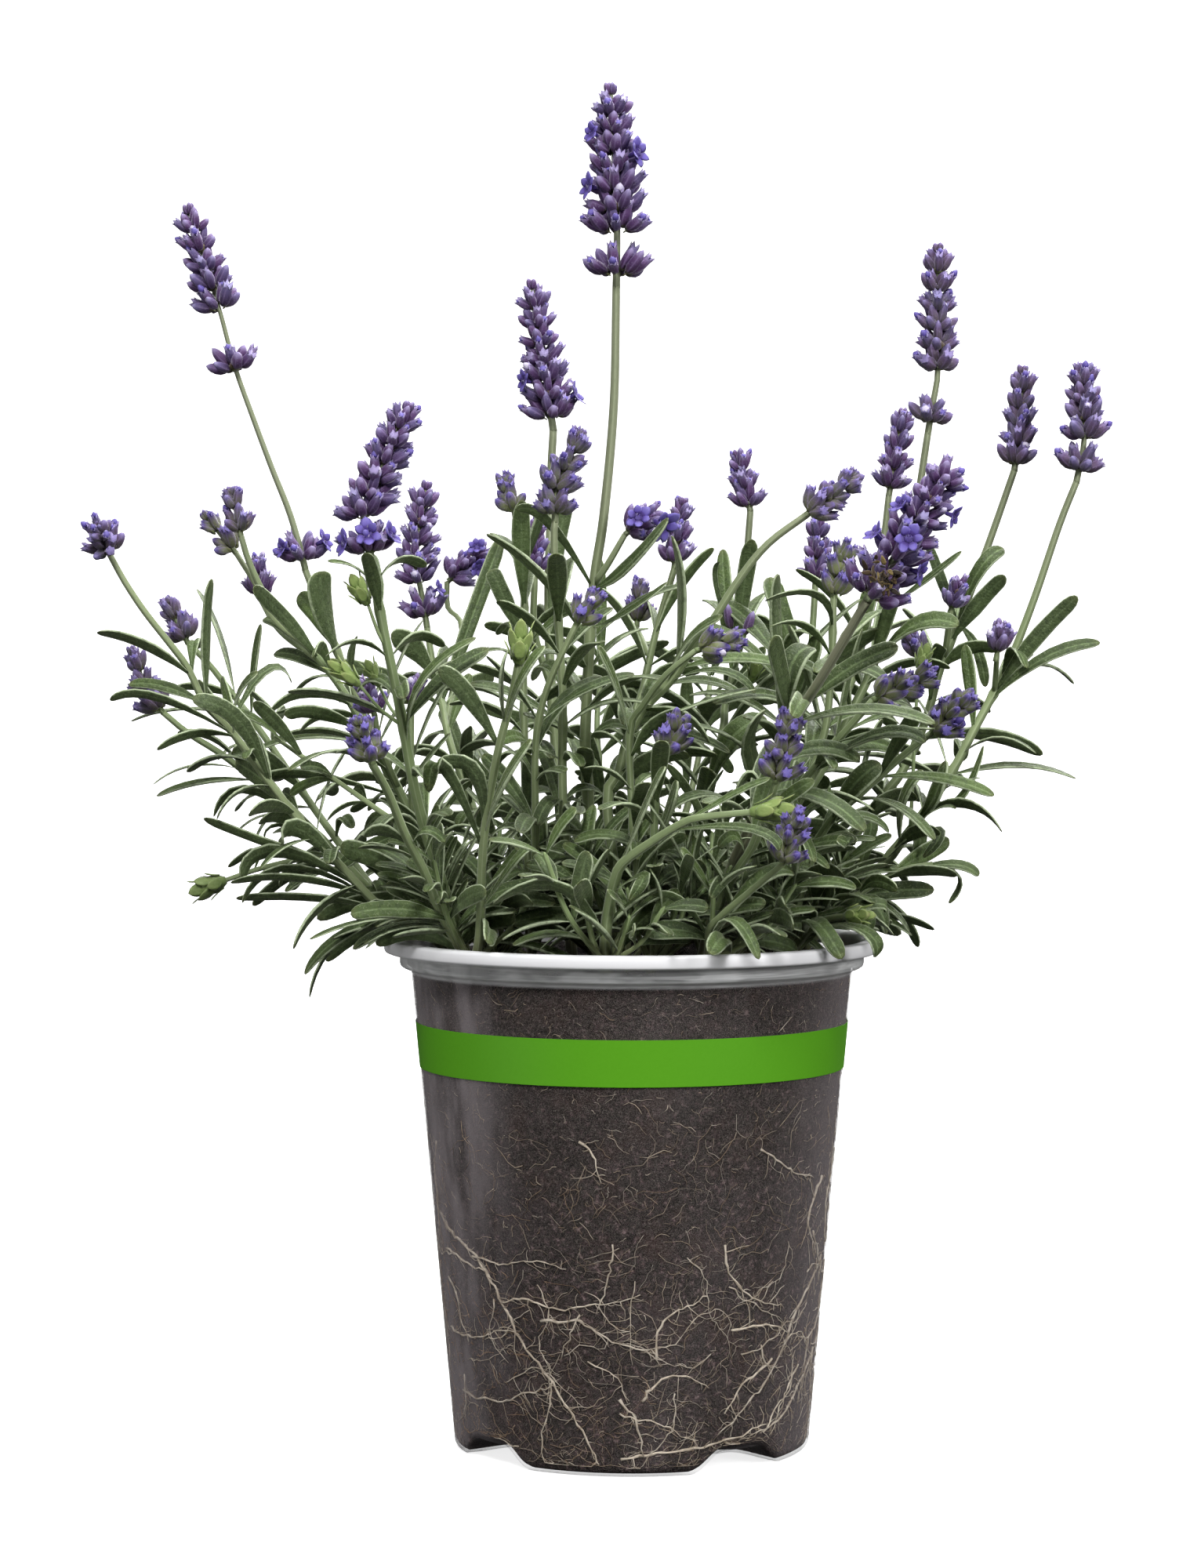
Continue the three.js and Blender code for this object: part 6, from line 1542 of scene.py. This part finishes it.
# finishes: colours are given as seen, and each finish has its own grain, sheen and wear, and some carry
# painted shade and painted highlights as well

def colour(code):
    parts = [int(code[i:i + 2], 16) / 255 for i in (0, 2, 4)]
    return tuple(c / 12.92 if c < 0.04045 else ((c + 0.055) / 1.055) ** 2.4 for c in parts) + (1,)


class Nodes:  # a tree of nodes, and short ways to add to it
    def __init__(self, tree):
        self.tree = tree

    def put(self, socket, value):
        if isinstance(value, bpy.types.NodeSocket):
            self.tree.links.new(value, socket)
        else:
            socket.default_value = colour(value) if isinstance(value, str) else value

    def add(self, kind, values={}, **settings):
        made = self.tree.nodes.new("ShaderNode" + kind)
        for name, value in settings.items():
            setattr(made, name, value)
        for name, value in values.items():
            self.put(made.inputs[name], value)
        return made

    def where(self, kind="Object"):
        return self.add("TexCoord").outputs[kind]

    def split(self, vector):
        return self.add("SeparateXYZ", {0: vector}).outputs[:3]

    def maths(self, operation, *values, clamp=False):
        return self.add("Math", dict(enumerate(values)), operation=operation,
                        use_clamp=clamp).outputs[0]

    def within(self, value, low, high):  # 0 at low, 1 at high, smooth between
        return self.add("MapRange", {"Value": value, "From Min": low, "From Max": high},
                        interpolation_type="SMOOTHSTEP").outputs[0]

    def noise(self, scale, detail=3, rough=0.55, bent=0, stretch=None):
        where = self.where()
        if stretch:
            where = self.add("Mapping", {"Vector": where, "Scale": stretch}).outputs[0]
        return self.add("TexNoise", {"Vector": where, "Scale": scale, "Detail": detail,
                                     "Roughness": rough, "Distortion": bent}).outputs["Fac"]

    def blend(self, share, a, b):
        return self.add("Mix", {0: share, 6: a, 7: b}, data_type="RGBA").outputs[2]

    def ramp(self, share, *stops):
        made = self.add("ValToRGB", {0: share})
        edges = made.color_ramp.elements
        while len(edges) < len(stops):
            edges.new(0.5)
        for edge, (at, code) in zip(edges, stops):
            edge.position, edge.color = at, colour(code)
        return made.outputs[0]


class Finish(Nodes):  # a material, whose base colour is mixed step by step
    def __init__(self, name):
        self.material = bpy.data.materials.new(name)
        self.material.use_nodes = True
        super().__init__(self.material.node_tree)
        self.tree.nodes.clear()
        self.surface = self.add("BsdfPrincipled")
        self.add("OutputMaterial", {0: self.surface.outputs[0]})

    def marks(self):  # what the mesh knows of itself: across, lengthwise, a third mark, and tones
        at, tone = (self.add("Attribute", attribute_name=name) for name in ("at", "tone"))
        tones = self.add("SeparateColor", {0: tone.outputs["Color"]}).outputs
        return *self.split(at.outputs["Vector"]), *tones[:3]

    def tint(self, share, amount, code, edges=None):  # this much of a colour, where the share is 1
        share = self.within(share, *edges) if edges else share
        self.base = self.blend(self.maths("MULTIPLY", share, amount), self.base, code)

    def done(self, rough, gloss, grain=None, sheen=(), **more):
        said = {"Base Color": self.base, "Roughness": rough, "Specular IOR Level": gloss}
        said.update(zip(("Sheen Weight", "Sheen Roughness", "Sheen Tint"), sheen))
        said.update({name.replace("_", " "): value for name, value in more.items()})
        if grain:
            raised = self.add("Bump", dict(zip(("Height", "Strength", "Distance"), grain)))
            said["Normal"] = raised.outputs[0]
        for name, value in said.items():
            self.put(self.surface.inputs[name], value)
        return self.material


def leafFinish():
    leaf = Finish("lavender_leaf")
    across, lengthwise, under, chance, young, age = leaf.marks()
    aside = leaf.maths("ABSOLUTE", across)
    leaf.base = leaf.ramp(chance, (0, "223012"), (0.5, "30411b"), (1, "46592a"))
    # painted shade: the lower, older leaves are drawn darker, as the shade inside the dense plant
    leaf.tint(age, 0.45, "1d2813")
    leaf.tint(leaf.noise(160, 2), 0.3, "586c36")
    leaf.tint(young, 0.5, "748f44")
    leaf.tint(aside, 0.45, "7f9464", (0.16, 0.06))  # the rib
    leaf.tint(under, 0.5, "5f6f4b", (0.7, 1))
    leaf.tint(aside, 0.8, "b6c3a0", (0.82, 0.94))  # the rolled edges: their pale felt, with painted rim light along them
    leaf.tint(lengthwise, 0.35, "6d6f45", (0.9, 1))
    bloom = leaf.noise(1900, 2, 0.7)
    leaf.tint(bloom, 0.36, "8c9b70", (0.54, 0.68))
    leaf.tint(leaf.noise(650), 0.35, "1f2b14", (0.5, 0.62))
    rough = leaf.maths("MULTIPLY_ADD", leaf.noise(400), 0.25, 0.48)
    wool = leaf.maths("ADD", bloom, leaf.noise(700, 2))
    return leaf.done(rough, 0.45, (wool, 0.7, 0.0003), (0.24, 0.35, (0.9, 0.94, 0.72, 1)))


def stemFinish():
    stem = Finish("lavender_stem")
    ridge, _, high, chance, young, brown = stem.marks()
    stem.base = stem.ramp(chance, (0, "66784e"), (1, "86966a"))
    stem.tint(young, 0.5, "8aa45c")
    stem.tint(brown, 0.6, "8a7f75")
    stem.tint(high, 0.7, "6a5a45", (0.425, 0.36))  # woody low down, greyer high up
    stem.tint(high, 0.55, "8b8b78", (0.6, 0.75))
    stem.tint(ridge, 0.35, "b3bd9c", (0.3, 1))
    stem.tint(stem.noise(900, 2), 0.3, "5b6a45")
    return stem.done(0.6, 0.35, (stem.noise(1500, 2, 0.6, 0, (1, 1, 0.25)), 0.4, 0.0002),
                     (0.2, 0.4, (0.88, 0.92, 0.82, 1)))


def budFinish():
    bud = Finish("green_bud")
    _, lengthwise, _, chance, _, dark = bud.marks()
    bud.base = bud.ramp(lengthwise, (0, "66803c"), (0.7, "8fa45a"), (1, "8d8a5a"))
    bud.tint(dark, 0.75, "3f5426")
    bud.tint(chance, 0.3, "6d8440")
    bud.tint(bud.noise(1300, 2), 0.3, "bcc98a")
    return bud.done(0.6, 0.35, (bud.noise(1800, 2), 0.5, 0.0002), (0.25, 0.4))


def calyxFinish():
    calyx = Finish("calyx")
    ridge, lengthwise, _, chance, youth, _ = calyx.marks()
    # the cups' own colours by length: olive at the foot, pale and woolly at the mouth; the dark body
    # just above the foot is partly painted shade between the crowded cups
    plum = calyx.ramp(lengthwise, (0, "69664a"), (0.14, "4c3352"), (0.45, "503460"),
                      (0.75, "624673"), (1, "9487b2"))
    blue = calyx.ramp(lengthwise, (0, "5a5744"), (0.2, "443354"), (0.55, "51436a"),
                      (0.85, "655a88"), (1, "928bb6"))
    green = calyx.ramp(lengthwise, (0, "7d8452"), (0.55, "717852"), (0.78, "5d5c64"),
                       (0.88, "40346f"), (1, "5f559f"))
    ripe = calyx.blend(calyx.within(chance, 0.35, 0.9), plum, blue)
    calyx.base = calyx.blend(calyx.within(youth, 0, 0.75), ripe, green)
    calyx.tint(ridge, 0.4, "8d79a4", (0, 1))
    fuzz = calyx.noise(2200, 2, 0.7)
    calyx.tint(fuzz, 0.35, "a99fba", (0.55, 0.75))
    return calyx.done(0.6, 0.3, (fuzz, 0.5, 0.0002), (0.35, 0.35, (0.78, 0.72, 0.9, 1)))


def petalFinish():
    petal = Finish("petal")
    _, lengthwise, _, chance, youth, woolly = petal.marks()
    petal.base = petal.ramp(lengthwise, (0, "35275f"), (0.28, "40306f"), (0.42, "5b4e9c"),
                            (1, "7c72b8"))
    vein = petal.noise(1500, 3, 0.6, 1.5)
    petal.tint(vein, 0.4, "5b45a8", (0.5, 0.65))
    petal.tint(chance, 0.25, "6a58ac")
    petal.tint(youth, 0.92, "3c3076")
    petal.tint(woolly, 0.8, "d9d2e2")
    return petal.done(0.5, 0.3, (vein, 0.3, 0.0002), (0.3, 0.3, (0.8, 0.75, 1, 1)))


def bractFinish():
    bract = Finish("bract")
    _, lengthwise, _, chance, youth, dry = bract.marks()
    ripe = bract.ramp(lengthwise, (0, "7d8250"), (0.6, "766650"), (1, "5a3f58"))
    fresh = bract.ramp(lengthwise, (0, "74824e"), (0.7, "6f7656"), (1, "8b8a98"))
    bract.base = bract.blend(bract.within(youth, 0.1, 0.5), ripe, fresh)
    bract.tint(chance, 0.3, "6c5a4a")
    withered = bract.ramp(chance, (0, "1c130b"), (0.6, "45341d"), (1, "867545"))
    bract.base = bract.blend(dry, bract.base, withered)
    return bract.done(0.65, 0.3, (bract.noise(1700, 2), 0.5, 0.0002), (0.3, 0.4))


# fine pale threads in the soil: how fine, where in the noise, how much, colour
soilThreads = [(520, 0.5, 0.5, "7d736e"), (950, 0.48, 0.6, "9a908a"), (1900, 0.52, 0.5, "b0a69c")]


def soilFinish():
    soil = Finish("potting_soil")
    soil.base = soil.ramp(soil.noise(700, 5, 0.75), (0.38, "050404"), (0.5, "110d0e"),
                          (0.58, "2d2225"), (0.69, "7c6868"))
    soil.tint(soil.noise(45), 0.3, "453d42", (0.5, 0.75))
    soil.tint(soil.noise(110), 0.5, "2d1b17", (0.48, 0.7))
    # painted shade: the soil darker towards the top, under the rim and the plant
    soil.tint(soil.split(soil.where())[2], 0.35, "151210", (0.05, 0.085))
    for scale, middle, amount, code in soilThreads:
        bent = soil.noise(scale, 2, 0.5, 2.6, (1, 1, 1.4))
        thread = soil.maths("ABSOLUTE", soil.maths("SUBTRACT", bent, middle))
        soil.tint(thread, amount, code, (0.014, 0.003))
    return soil.done(0.85, 0.08, (soil.noise(800, 4, 0.7), 0.8, 0.0005))


def rootFinish():
    root = Finish("root")
    _, _, _, chance, pale, rusty = root.marks()
    root.base = root.ramp(chance, (0, "6b5846"), (0.5, "977f66"), (1, "cfbfa6"))
    root.tint(pale, 0.8, "dcd3c4")
    root.tint(rusty, 0.85, "b07c48")
    root.tint(root.noise(420), 0.5, "7a6852", (0.42, 0.6))
    return root.done(0.7, 0.3, (root.noise(1600, 2), 0.4, 0.0002))


# heights in metres where the collar and the rim begin, and how far left the painted glare begins
clearForm = {"collar": (0.1094, 0.1104), "pale": (0.109, 0.1104), "rim": (0.1141, 0.11445),
             "white": (0.1141, 0.1145), "dull": (0.1136, 0.1142), "left": (-0.024, -0.044)}


def clearFinish():  # almost unseen face on, hazy aslant, with painted highlights in the collar, painted glare at the left and a painted white reflection at the rim
    clear = Finish("clear_plastic")
    right, _, high = clear.split(clear.where())
    facing = clear.add("LayerWeight", {"Blend": 0.25}).outputs["Facing"]
    alpha = clear.maths("MULTIPLY_ADD", clear.within(facing, 0.12, 0.8), 0.33, 0.006)
    # painted highlights: bright horizontal streaks and patches of reflection in the collar
    streaks = clear.within(clear.noise(1, 3, 0.6, 0, (25, 25, 900)), 0.45, 0.68)
    patches = clear.within(clear.noise(1, 3, 0.6, 0, (42, 42, 160)), 0.44, 0.6)
    collarHighlights = clear.maths("MULTIPLY_ADD", clear.maths("ADD", streaks, patches), 0.42, 0.3)
    collar = clear.maths("MULTIPLY", clear.within(high, *clearForm["collar"]), collarHighlights)
    # painted reflection: the rim made almost opaque and near white
    rim = clear.maths("MULTIPLY", clear.within(high, *clearForm["rim"]), 0.9)
    clouds = clear.within(clear.noise(22, 4, 0.6, 0, (1, 1, 0.4)), 0.5, 0.75)
    # painted glare: a pale haze over the left side of the wall, where light falls on it
    leftGlare = clear.maths("MULTIPLY", clear.within(right, *clearForm["left"]), clear.within(
        clear.noise(60, 4, 0.7, 0, (1, 1, 0.3)), 0.36, 0.66))
    for share in (clear.maths("ADD", collar, rim), clear.maths("MULTIPLY", clouds, 0.035),
                  clear.maths("MULTIPLY", leftGlare, 0.34)):
        alpha = clear.maths("ADD", alpha, share, clamp=True)
    # the collar's paler base goes with its painted highlights, the rim's white base with its painted
    # reflection
    clear.base = clear.blend(clear.within(high, *clearForm["pale"]), "b4abae", "e6e7e7")
    clear.base = clear.blend(clear.within(high, *clearForm["white"]), clear.base, "ececee")
    rough = clear.maths("MULTIPLY_ADD", clear.noise(90), 0.18, 0.08)
    dull = clear.maths("MULTIPLY", clear.within(high, *clearForm["dull"]), 0.3)
    rough = clear.maths("ADD", rough, dull)
    return clear.done(rough, 0.6, (clear.noise(35, 2), 0.25, 0.0006), IOR=1.5, Alpha=alpha)


def stripeFinish():
    stripe = Finish("stripe_print")
    grain = stripe.maths("MULTIPLY", stripe.noise(1400, 2), 0.5)
    stripe.base = stripe.blend(grain, "549a1a", "5ea524")
    return stripe.done(0.5, 0.14, (stripe.noise(500, 2), 0.12, 0.0002))


# the stage: the floor's flat part, its bend, its height and how much it glows, and the sky's light
stageForm = {"flat": 1.3, "round": 0.5, "high": 2.4, "around": 96, "glow": 0.8, "low": 0.0002,
             "sky": 0.22, "ground": 0.05}
lights = [  # name, place, aimed at, size, power
    ("key", (-0.15, -1.2, 1.2), (0, 0, 0.15), 0.4, 19),
    ("fill", (1.05, -0.95, 0.6), (0, 0, 0.2), 0.7, 13),
    ("low", (-1.15, -0.6, 0.1), (0, 0, 0.05), 0.6, 3.4),
    ("top", (0.15, 0.1, 1.4), (0, 0, 0.15), 0.6, 15),
    ("back", (0.5, 1.0, 0.9), (0, 0, 0.2), 0.6, 13),
]


def floorFinish():
    floor = Finish("pale_floor")
    floor.base = floor.blend(floor.noise(3, 2), "fbfbfb", "f8f8f8")
    return floor.done(0.9, 0.1, Emission_Color=(1, 1, 1, 1), Emission_Strength=stageForm["glow"])


def makeStage():
    form = stageForm  # a round floor that bends up into a wall, the same from every side
    profile = [(form["flat"] + form["round"] * math.sin(a), form["round"] * (1 - math.cos(a)))
               for a in np.linspace(0, math.pi / 2, 16)]
    profile += [(form["flat"] + form["round"], form["high"])]
    n = form["around"]
    places = [(r * math.cos(t), r * math.sin(t), z - form["low"])
              for r, z in profile for t in turnsOf(n)]
    faces = [list(range(n))]
    for k in range(len(profile) - 1):
        faces += [(k * n + i, (k + 1) * n + i, (k + 1) * n + (i + 1) % n, k * n + (i + 1) % n)
                  for i in range(n)]
    mesh = bpy.data.meshes.new("backdrop")
    mesh.from_pydata(places, [], faces)
    mesh.shade_smooth()
    mesh.materials.append(floorFinish())
    backdrop = show("backdrop", mesh)
    # it throws no light back up, and isn't mirrored in the pot or the leaves
    backdrop.visible_diffuse = backdrop.visible_glossy = backdrop.visible_shadow = False
    backdrop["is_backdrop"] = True
    world = bpy.data.worlds.new("studio")
    world.use_nodes = True
    sky = Nodes(world.node_tree)
    light = sky.maths("MULTIPLY_ADD", sky.within(sky.split(sky.where("Generated"))[2], -0.3, 0.5),
                      form["sky"] - form["ground"], form["ground"])
    background = world.node_tree.nodes["Background"]
    sky.put(background.inputs["Strength"], light)
    sky.put(background.inputs["Color"], (1, 1, 1, 1))
    bpy.context.scene.world = world
    for name, at, aim, size, power in lights:
        data = bpy.data.lights.new(name, "AREA")
        data.shape, data.size, data.energy = "DISK", size, power
        lamp = show(name, data)
        lamp.location = at
        facing = unit(np.array(at) - np.array(aim))
        lamp.rotation_euler = (math.acos(facing[2]), 0,
                               math.atan2(facing[1], facing[0]) + math.pi / 2)
    bpy.context.scene.view_settings.view_transform = "Standard"


def build():
    print("stage and camera")
    makeCamera()
    makeStage()
    print("pot, stripe, soil and roots")
    makePot(clearFinish())
    makeStripe(stripeFinish())
    makeSoil(soilFinish())
    makeRoots(rootFinish())
    print("stems and leaves")
    calyx, stemSkin = calyxFinish(), stemFinish()
    growth = [leafFinish(), stemSkin, budFinish(), calyx]
    flower = [calyx, petalFinish(), stemSkin, bractFinish()]
    lines = [stemLines(clump) for clump in clumps]
    claimStems(lines)
    leaves = solidLeaves(lines)
    solidCount = sum(len(some) for some in leaves)
    addMoreLeaves(lines, leaves)
    shoots = makeShoots(lines, leaves)
    fillLeaves(lines, leaves)
    print("leaves", solidCount, "and more", sum(len(some) for some in leaves) - solidCount)
    number = 0
    for owner, clump in enumerate(clumps):
        makeClump(owner, lines[owner], leaves[owner], shoots[owner], growth)
        for line, stem in zip(lines[owner], clump["stems"]):
            if "head" in stem:
                number += 1
                makeObject(f"spike_{number:02d}", spikeSkin(number, headLine(line, stem), stem),
                           flower, "flower", f"flower_spike_{number:02d}")
            elif stem["seed"] in purpleTips:
                makeObject(f"small_flower_{stem['seed']}", spikeSkin(0, headLine(line, stem), stem),
                           flower, "flower")
    counts = {piece.name: sum(len(face.vertices) - 2 for face in piece.data.polygons)
              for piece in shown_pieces()}
    print("triangles", sum(counts.values()), sorted(counts.items(), key=lambda c: -c[1])[:6])


build()
sizes = [[list(corner) for corner in box] for box in (cadBox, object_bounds())]
